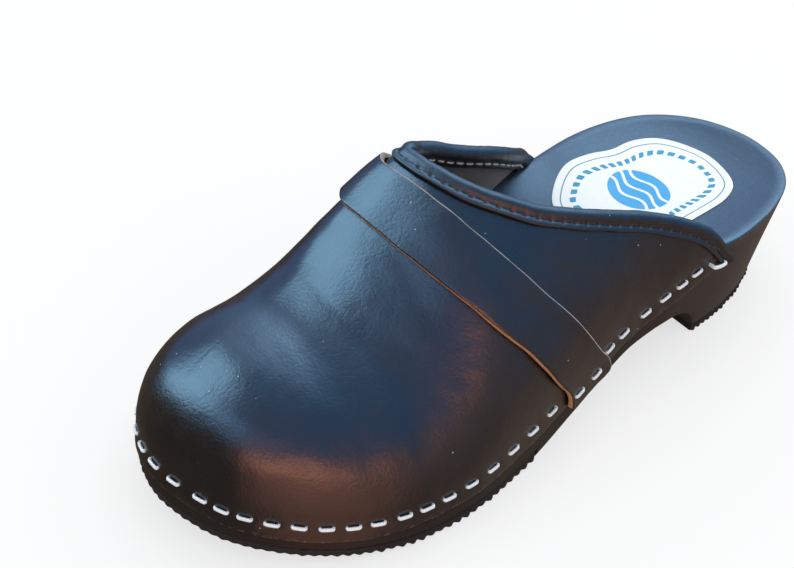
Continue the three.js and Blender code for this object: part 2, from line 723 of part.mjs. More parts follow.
// ------------------------------------------------- collar binding, cord, threads
const BINDING_THICK = 0.9;       // leather of the collar binding
const BINDING_FLANGE = 2.2;      // flange below the stitch line
const FLANGE_GAP = 0.7;          // air between flange and upper
const ROLL_RADIUS = 2.8;         // outer radius of the padded roll
const ROLL_RISE = 2.1;           // roll centre above the stitch line
const ROLL_DIP = 42;             // degrees the roll runs past its half circle, each side
const PAD_RADIUS = 1.5;          // foam cord
const COLLAR_RUN_ON = 7;         // extra length at both ends, before the ledge cut
const THREAD = 0.4;              // half thickness of the sewing thread
const THREAD_GAP = 0.3;          // air between thread and flange
const THREAD_LEVEL = -0.2;       // thread against the stitch line
const THREAD_START = 0.12;       // course at which the threads start
const FLANGE_OUT = FLANGE_GAP + BINDING_THICK;
const FLANGE_IN = -LEATHER - FLANGE_GAP - BINDING_THICK;

// Frames along the top line, from course start on the outer side to its mirror
// on the inner side. aft points away from the toe.
function collarFrames(start) {
  const outerHalf = [];
  for (let row = 0; row < ROWS; row++) {
    outerHalf.push(rowClimb(row), (rowClimb(row) + rowClimb(row + 1)) / 2);
  }
  const courses = [...outerHalf, 1, ...outerHalf.map((v) => 2 - v).reverse()];
  const pointAt = (course) => {
    const { side, climb } = overFoot(course);
    return upperPoint(side, topLineArc(side, climb), climb);
  };
  return courses.map((fullCourse) => {
    const course = start + (1 - start) * fullCourse;
    const { side, climb } = overFoot(course);
    const arc = topLineArc(side, climb);
    const { point, normal } = skinAt(side, arc, climb);
    const tangent = pointAt(Math.min(course + 0.012, 2))
      .sub(pointAt(Math.max(course - 0.012, 0))).normalize();
    const aft = tangent.clone().cross(normal).normalize();
    if (aft.dot(upperPoint(side, arc + 1, climb).sub(point)) < 0) aft.negate();
    return { point, normal, aft, tangent };
  });
}

// The roll runs on below the ledge of the rebate, where a cut ends it.
function rollFrames() {
  const frames = collarFrames(0);
  const runOn = (frame, distance) => ({
    ...frame, point: frame.point.clone().addScaledVector(frame.tangent, distance),
  });
  return [
    runOn(frames[0], -COLLAR_RUN_ON), ...frames, runOn(frames.at(-1), COLLAR_RUN_ON),
  ];
}

function underLedge() {
  const line = [[30, -10]];
  for (let s = 30; s <= 120; s += 10) line.push([s, edgeZ(s) + 0.1]);
  return sideBand([...line, [120, -10]]);
}

// Sections are polygons of [out of the leather, aft] points.
const sweep = (frames, section) => cappedLoft(
  frames.map(({ point, normal, aft }) => section.map(([out, back]) =>
    point.clone().addScaledVector(normal, out).addScaledVector(aft, back))),
  section,
);

// Arc about the centre of the roll, between angles in degrees.
const rollArc = (radius, from, to, segments) =>
  Array.from({ length: segments + 1 }, (_, i) => {
    const angle = (from + (to - from) * i / segments) * Math.PI / 180;
    return [-LEATHER / 2 + radius * Math.cos(angle), ROLL_RISE + radius * Math.sin(angle)];
  });

const bindingSection = [
  [FLANGE_OUT, -BINDING_FLANGE],
  ...rollArc(ROLL_RADIUS, -ROLL_DIP, 180 + ROLL_DIP, 6),
  [FLANGE_IN, -BINDING_FLANGE],
  [FLANGE_IN + BINDING_THICK, -BINDING_FLANGE],
  ...rollArc(ROLL_RADIUS - BINDING_THICK, 180 + ROLL_DIP, -ROLL_DIP, 4),
  [FLANGE_OUT - BINDING_THICK, -BINDING_FLANGE],
];
const cordSection = rollArc(PAD_RADIUS, 36, 324, 4);

// Triangular thread beside a flange; facing is 1 outside and -1 inside.
function threadSection(flange, facing) {
  const middle = flange + facing * (THREAD_GAP + THREAD);
  return [
    [middle - facing * THREAD, THREAD_LEVEL + THREAD],
    [middle - facing * THREAD, THREAD_LEVEL - THREAD],
    [middle + facing * THREAD, THREAD_LEVEL],
  ];
}

// ---------------------------------------------------------------- instep strap
const STRAP_STEPS = 20;          // segments from each end to the ridge
const STRAP_ACROSS = 3;          // segments over its width
// Edges of the strap, [draw-in, station].
const strapFront = bySide(
  smooth([
    [0, 138.6], [0.02, 144.6], [0.05, 149.1], [0.15, 158.0], [0.25, 164.8], [0.5, 173.6],
    [0.75, 178.8], [1, 181.0], [1.25, 178.8],
  ]),
  smooth([
    [0, 138.6], [0.04, 143.5], [0.25, 156.4], [0.5, 168.4], [0.75, 177.2], [1, 181.0],
    [1.25, 177.2],
  ]),
);
const strapRear = bySide(
  smooth([
    [0, 118.2], [0.02, 124.2], [0.05, 128.5], [0.15, 137.2], [0.25, 144.5], [0.5, 156.4],
    [0.75, 163.6], [1, 166.8], [1.25, 163.6],
  ]),
  smooth([
    [0, 118.2], [0.04, 123.6], [0.25, 137.2], [0.5, 150.8], [0.75, 161.8], [1, 166.8],
    [1.25, 161.8],
  ]),
);

function strapBand() {
  const acrossSteps = Array.from({ length: STRAP_ACROSS + 1 }, (_, j) => j);
  const rings = [];
  for (let i = 0; i <= 2 * STRAP_STEPS; i++) {
    const { side, climb } = overFoot(i / STRAP_STEPS);
    const front = strapFront[side](drawInAt(climb));
    const rear = strapRear[side](drawInAt(climb));
    const row = acrossSteps.map((j) => {
      const station = front + (rear - front) * j / STRAP_ACROSS;
      return skinAt(side, arcOnUpper(side, climb, station), climb);
    });
    const raised = (offset) =>
      row.map(({ point, normal }) => point.clone().addScaledVector(normal, offset));
    rings.push([...raised(STRAP_GAP), ...raised(STRAP_GAP + LEATHER).reverse()]);
  }
  const under = acrossSteps.map((j) => [j, 0]);
  const over = acrossSteps.map((j) => [j, 1]).reverse();
  return toSolid(cappedLoft(rings, [...under, ...over]));
}

// --------------------------------------------------------------- rubber treads
const TOOTH_PITCH = 4.4;
const FORE_TREAD_START = TREAD_BACK + 0.4;
const HEEL_TREAD_END = HEEL_FRONT + 0.3;

// Saw-toothed plan outline, from endStation round the tip or the heel and back.
function toothedOutline({ endStation, inset, toothDepth, aroundTip }) {
  const outerArc = arcAtStation(OUTER, endStation);
  const innerArc = arcAtStation(INNER, endStation);
  const walk = aroundTip
    ? outerArc + innerArc
    : (arcs[OUTER].total - outerArc) + (arcs[INNER].total - innerArc);
  const follow = aroundTip ? roundTip : roundHeel;
  const count = Math.round(walk / TOOTH_PITCH) * 2;
  return Array.from({ length: count + 1 }, (_, i) => {
    const { side, arc } = follow(walk * i / count, outerArc);
    return insetPoint(side, arc, inset - (i % 2 ? toothDepth : 0), 0);
  });
}

function heelTread() {
  const outline = toothedOutline({
    endStation: HEEL_TREAD_END, inset: HEEL_TAPER + 0.1, toothDepth: 0.8, aroundTip: false,
  });
  return prism(outline, 0, TREAD_THICK);
}

function forefootTread() {
  const outline = toothedOutline({
    endStation: FORE_TREAD_START, inset: FORE_TAPER, toothDepth: 1.3, aroundTip: true,
  });
  const bottom = [];
  const top = [];
  for (let s = FORE_TREAD_START; s < 272; s += 8) {
    bottom.push([s, groundZ(s)]);
    top.unshift([s, woodUnder(s) - FIT_GAP]);
  }
  return toSolid(prism(outline, -3, 30)).intersect(sideBand([...bottom, ...top]));
}

// ------------------------------------------------------------------ heel label
const LABEL_THICK = 0.4;
const LABEL_POINTS = 36;
// Outline of the label, [station, across].
const HEEL_LABEL = [
  [20.4, -3], [22.5, 7], [28, 14.5], [37, 18.5], [47, 19.6], [57, 20.2], [66, 21.5],
  [75, 20.5], [83, 15.5], [88.5, 7], [91.5, -4], [91, -14.5], [84.5, -21.5], [73, -27.4],
  [61, -26.9], [52, -24.9], [41, -24.5], [31, -20.8], [24, -13],
];

// A thin sheet that follows the hollow of the footbed.
function heelLabel(block) {
  const outline = closedCurve(HEEL_LABEL.map(([s, x]) => place(s, x, 0)), LABEL_POINTS);
  return toSolid(prism(outline, 25, 60))
    .intersect(block.translate([0, 0, FIT_GAP + LABEL_THICK]))
    .subtract(block.translate([0, 0, FIT_GAP]));
}

// ------------------------------------------------------------------- materials
const material = (color, { roughness, metalness = 0 }) =>
  new THREE.MeshStandardMaterial({ color, roughness, metalness });
const materials = {
  wood: material(0x1a1a20, { roughness: 0.45 }),
  rubber: material(0x111113, { roughness: 0.85 }),
  leather: material(0x17171b, { roughness: 0.38 }),
  binding: material(0x141418, { roughness: 0.45 }),
  foam: material(0x8d8a80, { roughness: 0.9 }),
  thread: material(0x0d0d10, { roughness: 0.7 }),
  cream: material(0xd9cfba, { roughness: 0.75 }),
  paper: material(0xf2f4f4, { roughness: 0.45 }),
  steel: material(0xc9ccd0, { roughness: 0.3, metalness: 1 }),
};

// -------------------------------------------------------------------- assembly
function addMesh(parent, name, geometry, surface) {
  const mesh = new THREE.Mesh(geometry, surface);
  mesh.name = name;
  parent.add(mesh);
  return mesh;
}
const addSolid = (parent, name, solid, surface) =>
  addMesh(parent, name, toGeometry(solid), surface);

const staples = placeStaples();
const holes = wasm.Manifold.union(staples.flatMap(legHoles));

function addSole(parent, block) {
  const pockets = wasm.Manifold.union(staples.map(staplePocket));
  const wood = block.subtract(archCutter()).subtract(rebateCutter()).subtract(pockets);
  addSolid(parent, 'wooden_sole', wood, materials.wood);
  addSolid(parent, 'forefoot_tread', forefootTread(), materials.rubber);
  addMesh(parent, 'heel_tread', heelTread(), materials.rubber);
}

function upperGroup() {
  const group = new THREE.Group();
  const roll = rollFrames();
  const ledge = underLedge();
  const rolled = (section) => toSolid(sweep(roll, section)).subtract(ledge).subtract(holes);
  const seam = collarFrames(THREAD_START);
  const needle = sweep(seam, threadSection(FLANGE_OUT, 1));
  const bobbin = sweep(seam, threadSection(FLANGE_IN, -1));
  addSolid(group, 'upper_leather', upperShell().subtract(holes), materials.leather);
  addSolid(group, 'collar_binding', rolled(bindingSection), materials.binding);
  addSolid(group, 'collar_padding', rolled(cordSection), materials.foam);
  addMesh(group, 'binding_needle_thread', needle, materials.thread);
  addMesh(group, 'binding_bobbin_thread', bobbin, materials.cream);
  addSolid(group, 'instep_strap', strapBand().subtract(holes), materials.leather);
  return group;
}

function stapleGroup() {
  const group = new THREE.Group();
  for (const staple of staples) {
    const mesh = addMesh(group, staple.name, stapleGeometry(staple), materials.steel);
    mesh.quaternion.setFromRotationMatrix(staple.frame);
    mesh.position.copy(staple.seat);
  }
  return group;
}

const clog = new THREE.Group();
const block = soleBlock();
addSole(clog, block);
clog.add(upperGroup());
addSolid(clog, 'heel_label', heelLabel(block), materials.paper);
clog.add(stapleGroup());

export default clog;
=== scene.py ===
"""A wooden clog: a carved wooden sole, a stapled leather upper with a padded bound
collar, an instep strap, rubber treads and a heel label.

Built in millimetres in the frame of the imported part: +X is the outer side, -Y the toe,
+Z up from the ground. Most shapes are laid out by `along`, the distance from the heel
towards the toe, and x, the distance across towards the outer side."""
import math
from collections import namedtuple

import bmesh
import bpy
import numpy as np
from mathutils import Matrix, Vector
from mathutils.bvhtree import BVHTree


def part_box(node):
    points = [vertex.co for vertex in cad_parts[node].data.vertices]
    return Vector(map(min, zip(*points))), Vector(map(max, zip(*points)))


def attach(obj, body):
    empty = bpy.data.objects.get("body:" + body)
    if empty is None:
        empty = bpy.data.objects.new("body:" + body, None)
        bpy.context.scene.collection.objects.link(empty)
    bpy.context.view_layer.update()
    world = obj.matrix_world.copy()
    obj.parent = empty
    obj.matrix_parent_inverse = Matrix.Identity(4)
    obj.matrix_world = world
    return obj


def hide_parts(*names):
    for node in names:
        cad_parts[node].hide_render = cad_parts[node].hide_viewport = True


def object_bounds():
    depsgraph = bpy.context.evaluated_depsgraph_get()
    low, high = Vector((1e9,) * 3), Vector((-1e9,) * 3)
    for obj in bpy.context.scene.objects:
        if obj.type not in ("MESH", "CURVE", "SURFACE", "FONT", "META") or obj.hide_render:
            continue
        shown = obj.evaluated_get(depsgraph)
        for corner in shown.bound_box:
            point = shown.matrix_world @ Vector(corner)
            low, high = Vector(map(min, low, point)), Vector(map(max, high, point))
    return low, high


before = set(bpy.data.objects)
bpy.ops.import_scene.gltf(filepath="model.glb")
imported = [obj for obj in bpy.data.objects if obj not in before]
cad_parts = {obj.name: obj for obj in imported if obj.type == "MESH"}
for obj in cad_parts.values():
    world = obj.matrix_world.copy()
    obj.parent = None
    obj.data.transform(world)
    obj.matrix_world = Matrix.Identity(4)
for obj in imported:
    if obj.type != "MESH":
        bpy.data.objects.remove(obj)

CAD_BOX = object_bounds()
norm = np.linalg.norm
OUTER, INNER = 1, -1


# ------------------------------------------------------------------ curves
def hermite(u, start, start_slope, end, end_slope):
    return (start * (1 + 2 * u) * (1 - u) ** 2 + start_slope * u * (1 - u) ** 2
            + end * u * u * (3 - 2 * u) + end_slope * u * u * (u - 1))


class Curve:
    """Shape-preserving cubic through (x, y) points, straight beyond the ends."""

    def __init__(self, points):
        self.x, self.y = np.array(points, float).T
        gap = np.diff(self.x)
        rate = np.diff(self.y) / gap
        self.slope = np.zeros(len(self.x))
        self.slope[0], self.slope[-1] = rate[0], rate[-1]
        for i in range(1, len(gap)):
            if rate[i - 1] * rate[i] > 0:
                left, right = gap[i - 1], gap[i]
                self.slope[i] = 3 * (left + right) / ((2 * right + left) / rate[i - 1]
                                                      + (right + 2 * left) / rate[i])

    def __call__(self, at):
        at = np.asarray(at, float)
        x, y, slope = self.x, self.y, self.slope
        i = np.clip(np.searchsorted(x, at, side="right") - 1, 0, len(x) - 2)
        gap = x[i + 1] - x[i]
        value = hermite((at - x[i]) / gap, y[i], slope[i] * gap, y[i + 1], slope[i + 1] * gap)
        value = np.where(at <= x[0], y[0] + slope[0] * (at - x[0]), value)
        return np.where(at >= x[-1], y[-1] + slope[-1] * (at - x[-1]), value)


def closed_spline(points, per):
    """Closed centripetal spline with `per` steps between points."""
    start = np.array(points, float)
    before, end, after = (np.roll(start, k, 0) for k in (1, -1, -2))
    gap0, gap1, gap2 = (norm(b - a, axis=1, keepdims=True) ** 0.5
                        for a, b in ((before, start), (start, end), (end, after)))
    leave = (start - before) / gap0 - (end - before) / (gap0 + gap1) + (end - start) / gap1
    arrive = (end - start) / gap1 - (after - start) / (gap1 + gap2) + (after - end) / gap2
    u = np.arange(per)[:, None] / per
    knots = (v[:, None] for v in (start, leave * gap1, end, arrive * gap1))
    return hermite(u, *knots).reshape(-1, 2)


# ------------------------------------------------------------------ dimensions
LEATHER = 2.0
FIT = 0.35                                  # clearance between parts
REBATE_IN, REBATE_IN_COLLAR = 2.5, 6.6      # depth of the ledge, and under the collar ends
WOOD_CORNER = 1.1                           # rounding of the sole's lower edge
HEEL_TAPER, FORE_TAPER = 5.4, 1.0           # how far the side wall draws in at the ground
STAPLE_RISE, STAPLE_CROWN, STAPLE_LEG = 5.6, 5.2, 6.6
ROLL_RADIUS, ROLL_RISE, BINDING_THICK = 2.8, 2.1, 0.9
STITCH_PITCH, STITCH_LENGTH = 4.5, 3.4
SEAM_OVER = -0.2                            # the seam against the top line
TREAD_THICK, TREAD_BACK, HEEL_FRONT = 3.0, 151.0, 61.0
HEEL_PAD_END = 62.2                         # the wood is flat over the heel tread up to here
INNER_SPREAD = 5.5                          # how far the leather leans out at the inner rear
ARCH_RISE = 4.8                             # extra height of the footbed's rim at the arch
CREST_BACK, CREST_FRONT = 168.0, 216.0      # the ridge lines fan out between these
TIP_END = 261.0
ROOF_SOFT = 14.0                            # rounding of the roof at the ridge
HEEL_FAN, TOE_FAN = 50.0, 168.0             # the middle line is shortened beyond these

# Outline of the sole: along, x, from the heel end up the outer side and back
OUTLINE = [
    [2.1, -0.4], [4.5, 15.6], [12.8, 26.1], [27.2, 33.3], [48.5, 38.3], [75.6, 38.9],
    [102.7, 38.8], [130.5, 42.9], [158.3, 48.1], [184.2, 51.0], [207.0, 49.1], [227.9, 41.5],
    [244.2, 30.3], [255.6, 16.3], [261.5, -5.5], [259.0, -19.6], [251.8, -31.2],
    [239.1, -40.8], [222.3, -45.8], [202.3, -47.3], [180.3, -45.3], [155.4, -40.0],
    [128.4, -35.7], [100.5, -34.9], [72.6, -37.7], [46.9, -37.6], [27.4, -33.2],
    [14.8, -25.3], [6.7, -15.3]]
# Heights: along, z. Lower edge of the leather, underside, breast of the heel, rim
edge_z = Curve([
    [60.8, 36.3], [80.7, 30.4], [105.6, 23.8], [130.4, 17.7], [160.3, 13.0], [190.3, 10.3],
    [220.3, 10.4], [245.4, 13.8], [262.5, 17.9]])
ground_z = Curve([
    [88.4, 18.5], [100.4, 17.3], [115.3, 13.1], [130.2, 7.9], [145.1, 3.5], [160.1, 0.8],
    [180.1, 0.0], [200.1, 0.6], [220.1, 2.1], [240.2, 4.9], [262.3, 8.4]])
BREAST_END = 88.4
breast_z = Curve([[61, -2], [61.4, 2.5], [62.8, 6.5], [66, 11], [71.5, 15], [79, 17.8],
                  [BREAST_END, 18.5]])
rim_z = Curve([
    [0, 42.7], [60, 44.2], [80, 43.0], [105, 38.2], [130, 32.0], [160, 26.9], [190, 24.0],
    [220, 24.0], [245, 27.0], [262, 31.0]])
# Depth of the footbed's hollow: along, depth
cup_depth = Curve([[0, 5.5], [40, 5.5], [80, 4.0], [130, 2.6], [190, 2.2], [262, 2.0]])
# Ridge of the upper: along, z and along, x
ridge_z = Curve([
    [61.9, 87.7], [92.0, 90.4], [122.1, 91.3], [142.1, 91.1], [162.0, 87.6], [181.7, 74.4],
    [201.4, 60.6], [217.3, 56.5], [236.4, 57.6], [263.5, 60.0]])
ridge_curve = Curve([[61.9, -0.3], [122.1, -8.7], [152.0, -17.5], [181.7, -20.5],
                     [217.3, -12.7]])
# Fullness of the upper's section: along, exponent
roundness = {
    OUTER: Curve([[60, 2.2], [120, 2.25], [150, 2.35], [180, 2.45], [210, 2.5], [262, 2.4]]),
    INNER: Curve([[60, 1.98], [120, 1.85], [150, 1.8], [180, 1.9], [210, 2.2], [262, 2.4]])}
# Slope down from the ridge: along, slope
roof = {
    OUTER: Curve([[60, 0.6], [120, 0.52], [150, 0.45], [180, 0.36], [210, 0.20],
                  [262, 0.08]]),
    INNER: Curve([[60, 1.60], [120, 1.52], [150, 1.38], [180, 1.02], [210, 0.50],
                  [262, 0.10]])}
# Top line and strap edges: share of the way in from the lower edge to the ridge, along
top_line = {
    OUTER: Curve([
        [0, 62.8], [0.03, 67.0], [0.08, 73.6], [0.2, 92.0], [0.3, 109.2], [0.4, 124.6],
        [0.5, 138.2], [0.6, 148.0], [0.7, 154.6], [0.8, 158.9], [0.9, 161.4], [1, 162.3],
        [1.1, 161.4]]),
    INNER: Curve([
        [0, 74.3], [0.04, 79.6], [0.08, 84.0], [0.14, 89.4], [0.2, 94.4], [0.3, 104.6],
        [0.4, 117.0], [0.55, 140.4], [0.7, 153.8], [0.88, 159.8], [1, 162.3],
        [1.12, 159.8]])}
strap_front = {
    OUTER: Curve([
        [0, 138.6], [0.02, 144.6], [0.05, 149.1], [0.15, 158.0], [0.25, 164.8],
        [0.5, 173.6], [0.75, 178.8], [1, 181.0], [1.25, 178.8]]),
    INNER: Curve([[0, 138.6], [0.04, 143.5], [0.25, 156.4], [0.5, 168.4], [0.75, 177.2],
                  [1, 181.0], [1.25, 177.2]])}
strap_rear = {
    OUTER: Curve([
        [0, 118.2], [0.02, 124.2], [0.05, 128.5], [0.15, 137.2], [0.25, 144.5],
        [0.5, 156.4], [0.75, 163.6], [1, 166.8], [1.25, 163.6]]),
    INNER: Curve([[0, 118.2], [0.04, 123.6], [0.25, 137.2], [0.5, 150.8], [0.75, 161.8],
                  [1, 166.8], [1.25, 161.8]])}
# Staples on the outer side by `along`; round the tip by distance from the first of them
OUTER_STAPLES = [
    257.6, 254.6, 250.4, 244.8, 238.7, 231.8, 224.7, 217.6, 209.3, 201.8, 193.6,
    184.9, 175.8, 166.3, 156.7, 146.6, 116.2, 108.6, 98.0, 88.8, 81.3, 74.2]
TIP_STAPLES = [-10.2, -19.2, -27.4, -35.6]
INNER_STAPLE_COUNT = 17
# Outline of the heel label: along, x
HEEL_LABEL = [
    [20.4, -3], [22.5, 7], [28, 14.5], [37, 18.5], [47, 19.6], [57, 20.2], [66, 21.5],
    [75, 20.5], [83, 15.5], [88.5, 7], [91.5, -4], [91, -14.5], [84.5, -21.5], [73, -27.4],
    [61, -26.9], [52, -24.9], [41, -24.5], [31, -20.8], [24, -13]]


# ------------------------------------------------------------------ small helpers
def ease(value, start, end):
    """Smooth step from 0 at start to 1 at end."""
    u = np.clip((np.asarray(value, float) - start) / (end - start), 0, 1)
    return u * u * (3 - 2 * u)


def unit(v):
    return v / np.maximum(norm(v, axis=-1, keepdims=True), 1e-12)


def lengths(points):
    """Distance travelled along a line of points."""
    return np.r_[0, np.cumsum(norm(np.diff(points, axis=0), axis=1))]


def wobble(points, size, seed):
    """Smooth repeatable unevenness in about -1..1, with features of the given size."""
    rng = np.random.default_rng(seed)
    out, strength, total = 0, 1.0, 0
    for octave in range(2):
        for _ in range(5):
            wave = (unit(rng.normal(size=3)) * 2 * np.pi / size * (1.9 ** octave)
                    * rng.uniform(0.75, 1.25))
            out = out + strength * np.sin(points @ wave + rng.uniform(0, 2 * np.pi))
        total += strength * 2.2
        strength *= 0.5
    return out / total


def bisect(is_low, shape, high):
    """The values between 0 and high at which is_low turns false."""
    low, high = np.zeros(shape), np.full(shape, high)
    for _ in range(40):
        middle = (low + high) / 2
        keep = is_low(middle)
        low, high = np.where(keep, middle, low), np.where(keep, high, middle)
    return (low + high) / 2


# ------------------------------------------------------------------ outline of the sole
LOOP = closed_spline(OUTLINE, per=50)
TIP, HEEL_END = int(np.argmax(LOOP[:, 0])), int(np.argmin(LOOP[:, 0]))
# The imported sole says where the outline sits, unless it is not where it is expected
WOOD_LOW, WOOD_HIGH = (np.array(corner) * 1000.0 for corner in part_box("wooden_sole"))
CENTRE_ALONG = float(WOOD_HIGH[1] + LOOP[:, 0].min())
CENTRE_X = float((LOOP[:, 1].max() + LOOP[:, 1].min()) / 2 - (WOOD_HIGH[0] + WOOD_LOW[0]) / 2)
EXPECTED_CENTRE = 132.5, 1.848
if max(abs(CENTRE_ALONG - EXPECTED_CENTRE[0]), abs(CENTRE_X - EXPECTED_CENTRE[1])) > 0.6:
    CENTRE_ALONG, CENTRE_X = EXPECTED_CENTRE


def place(along, x, z):
    return np.stack(np.broadcast_arrays(x - CENTRE_X, CENTRE_ALONG - along, z), -1)


class HalfOutline:
    """One side of the outline, walked from the tip of the toe to the heel end."""

    def __init__(self, step):
        index = [TIP]
        while index[-1] != HEEL_END:
            index.append((index[-1] + step) % len(LOOP))
        self.points = LOOP[index]
        self.walks = lengths(self.points)
        self.total = self.walks[-1]

    def at(self, walk):
        return tuple(np.interp(walk, self.walks, self.points[:, i]) for i in (0, 1))

    def walk_at(self, along):
        return np.interp(-along, -self.points[:, 0], self.walks)


EDGES = {OUTER: HalfOutline(-1), INNER: HalfOutline(1)}


def outline_normal(side, walk):
    """Plan normal (along, x) away from the middle of the sole."""
    edge = EDGES[side]
    along0, x0 = edge.at(np.maximum(walk - 0.6, 0))
    along1, x1 = edge.at(np.minimum(walk + 0.6, edge.total))
    normal = side * unit(np.stack([x1 - x0, along0 - along1], -1))
    # the two ends point straight out, blended over the last millimetres
    for distance, end in ((walk, 1.0), (edge.total - walk, -1.0)):
        share = np.clip(distance / 1.5, 0, 1)[..., None]
        normal = normal * share + np.array([end, 0]) * (1 - share)
    return unit(normal)


def middle_line(walks):
    """Points (along, x) of the middle line, level with the walks on both sides."""
    mean = (EDGES[OUTER].at(walks[OUTER])[0] + EDGES[INNER].at(walks[INNER])[0]) / 2
    along = np.where(mean > TOE_FAN,
                     TOE_FAN + (mean - TOE_FAN) * (222 - TOE_FAN) / (261.5 - TOE_FAN), mean)
    along = np.where(mean < HEEL_FAN,
                     HEEL_FAN - (HEEL_FAN - mean) * (HEEL_FAN - 30) / (HEEL_FAN - 2.1), along)
    return along, 1 + 2 * ease(along, 60, 140) - 3 * ease(along, 180, 216)


# ------------------------------------------------------------------ surface of the upper
# A point of the leather's outside is given by its side, by `walk` (the distance along
# the lower edge from the tip) and by `climb`, 0 at the sole and 1 on the ridge. A
# negative walk or a climb above 1 is on the other side.
def ridge_x(along):
    return ridge_curve(np.minimum(along, CREST_FRONT))


def share_in(climb):
    return 1 - np.cos(np.asarray(climb, float) * np.pi / 2)


def crest(walk):
    """Where the line from an edge point meets the ridge, and the edges' mean along."""
    mean = (EDGES[OUTER].at(walk)[0] + EDGES[INNER].at(walk)[0]) / 2
    share = np.clip((mean - CREST_BACK) / (TIP_END - CREST_BACK), 0, 1)
    power = (TIP_END - CREST_BACK) / (CREST_FRONT - CREST_BACK)
    fan = CREST_BACK + (CREST_FRONT - CREST_BACK) * (1 - (1 - share) ** power)
    return np.where(mean < CREST_BACK, mean, fan), mean


def side_point(side, walk, climb):
    share = share_in(climb)
    edge, edge_x = EDGES[side].at(walk)
    meet, mean = crest(walk)
    along = edge + (meet - edge) * share
    x = edge_x + (ridge_x(meet) - edge_x) * share
    off = x - ridge_x(along)
    slope = roof[side](np.clip(along, 60, 262))
    top = ridge_z(along) - slope * (np.sqrt(off * off + ROOF_SOFT ** 2) - ROOF_SOFT)
    power = roundness[side](np.clip(mean, 60, 262))
    rise = np.maximum(1 - (1 - share) ** power, 0) ** (1 / power)
    low = edge_z(edge)
    return place(along, x, low + (top - low) * rise)


def lean_out(points):
    """Move the inner rear end of the leather outwards, above its lower edge."""
    along, z = CENTRE_ALONG - points[..., 1], points[..., 2]
    amount = (INNER_SPREAD * (1 - ease(along, 86, 118)) * ease(z - edge_z(along), 3, 14)
              * (1 - ease(z - rim_z(along), 6, 34)))
    return points - amount[..., None] * np.array([1.0, 0, 0])


def upper_point(side, walk, climb):
    side, walk, climb = np.broadcast_arrays(*(np.asarray(v, float)
                                              for v in (side, walk, climb)))
    side = np.where(walk < 0, -side, side)
    side = np.where(climb > 1, -side, side)
    walk = np.abs(walk)
    climb = np.where(climb > 1, 2 - climb, climb)
    return np.where((side > 0)[..., None], side_point(OUTER, walk, climb),
                    lean_out(side_point(INNER, walk, climb)))


def upper_normal(side, walk, climb, walk_step=0.6, climb_step=0.01):
    side, walk, climb = np.broadcast_arrays(*(np.asarray(v, float)
                                              for v in (side, walk, climb)))

    def cross(level):
        by_walk = (upper_point(side, walk + walk_step, level)
                   - upper_point(side, walk - walk_step, level))
        by_climb = (upper_point(side, walk, level + climb_step)
                    - upper_point(side, walk, np.maximum(level - climb_step, 0)))
        return np.cross(by_walk, by_climb) * side[..., None]

    normal = cross(climb)
    # where all lines meet in one point of the ridge, take the normal just below it
    flat = norm(normal, axis=-1, keepdims=True) < 1e-7
    return unit(np.where(flat, cross(climb - 0.02), normal))


def walk_for(side, climb, along):
    """The walk whose surface line passes `along` at the given climb."""
    climb, along = np.broadcast_arrays(np.asarray(climb, float), np.asarray(along, float))
    share = share_in(climb)

    def too_far_forward(walk):
        edge = EDGES[side].at(walk)[0]
        return edge + (crest(walk)[0] - edge) * share > along

    return bisect(too_far_forward, climb.shape, 245.0)


def climb_for(side, walk, rise):
    """The climb at which the surface is `rise` above its lower edge."""
    walk = np.asarray(walk, float)
    real_side = np.where(walk < 0, -side, side)
    low = np.where(real_side > 0, edge_z(EDGES[OUTER].at(np.abs(walk))[0]),
                   edge_z(EDGES[INNER].at(np.abs(walk))[0]))
    return bisect(lambda climb: upper_point(side, walk, climb)[..., 2] < low + rise,
                  walk.shape, 0.6)


def fold(across):
    """Side and climb for a value from 0 (outer edge) over 1 (ridge) to 2 (inner edge)."""
    return (np.where(across <= 1, 1.0, -1.0), np.where(across <= 1, across, 2 - across))


def walk_between(across, outer_along, inner_along):
    side, climb = fold(across)
    walk = np.where(side > 0, walk_for(OUTER, climb, outer_along),
                    walk_for(INNER, climb, inner_along))
    return side, walk, climb


# ------------------------------------------------------------------ mesh helpers
def grid_faces(rows, columns, wrap=False):
    r = np.arange(rows - 1)[:, None]
    c = np.arange(columns if wrap else columns - 1)[None, :]
    after = (c + 1) % columns
    quad = [r * columns + c, r * columns + after,
            (r + 1) * columns + after, (r + 1) * columns + c]
    return np.stack(quad, -1).reshape(-1, 4)


def strip(chain, other, base):
    """Triangles between two open chains of indices that run the same way."""
    faces, i, j = [], 0, 0
    last_i, last_j = len(chain) - 1, len(other) - 1
    while i < last_i or j < last_j:
        if j >= last_j or (i < last_i and (i + 1) / last_i <= (j + 1) / last_j):
            faces.append([base + chain[i], base + chain[i + 1], base + other[j]])
            i += 1
        else:
            faces.append([base + chain[i], base + other[j + 1], base + other[j]])
            j += 1
    return faces


def circle(segments):
    angle = np.linspace(0, 2 * np.pi, segments, endpoint=False)
    return np.cos(angle), np.sin(angle)


def rod(path, side, up, wide, high):
    """A capped rod; wide and high place the points of each ring along side and up."""
    rings = path[:, None] + side[:, None] * wide[..., None] + up[:, None] * high[..., None]
    count, segments = rings.shape[:2]
    faces = grid_faces(count, segments, wrap=True).tolist()
    faces.append(list(range(segments))[::-1])
    faces.append([(count - 1) * segments + i for i in range(segments)])
    return rings.reshape(-1, 3), faces


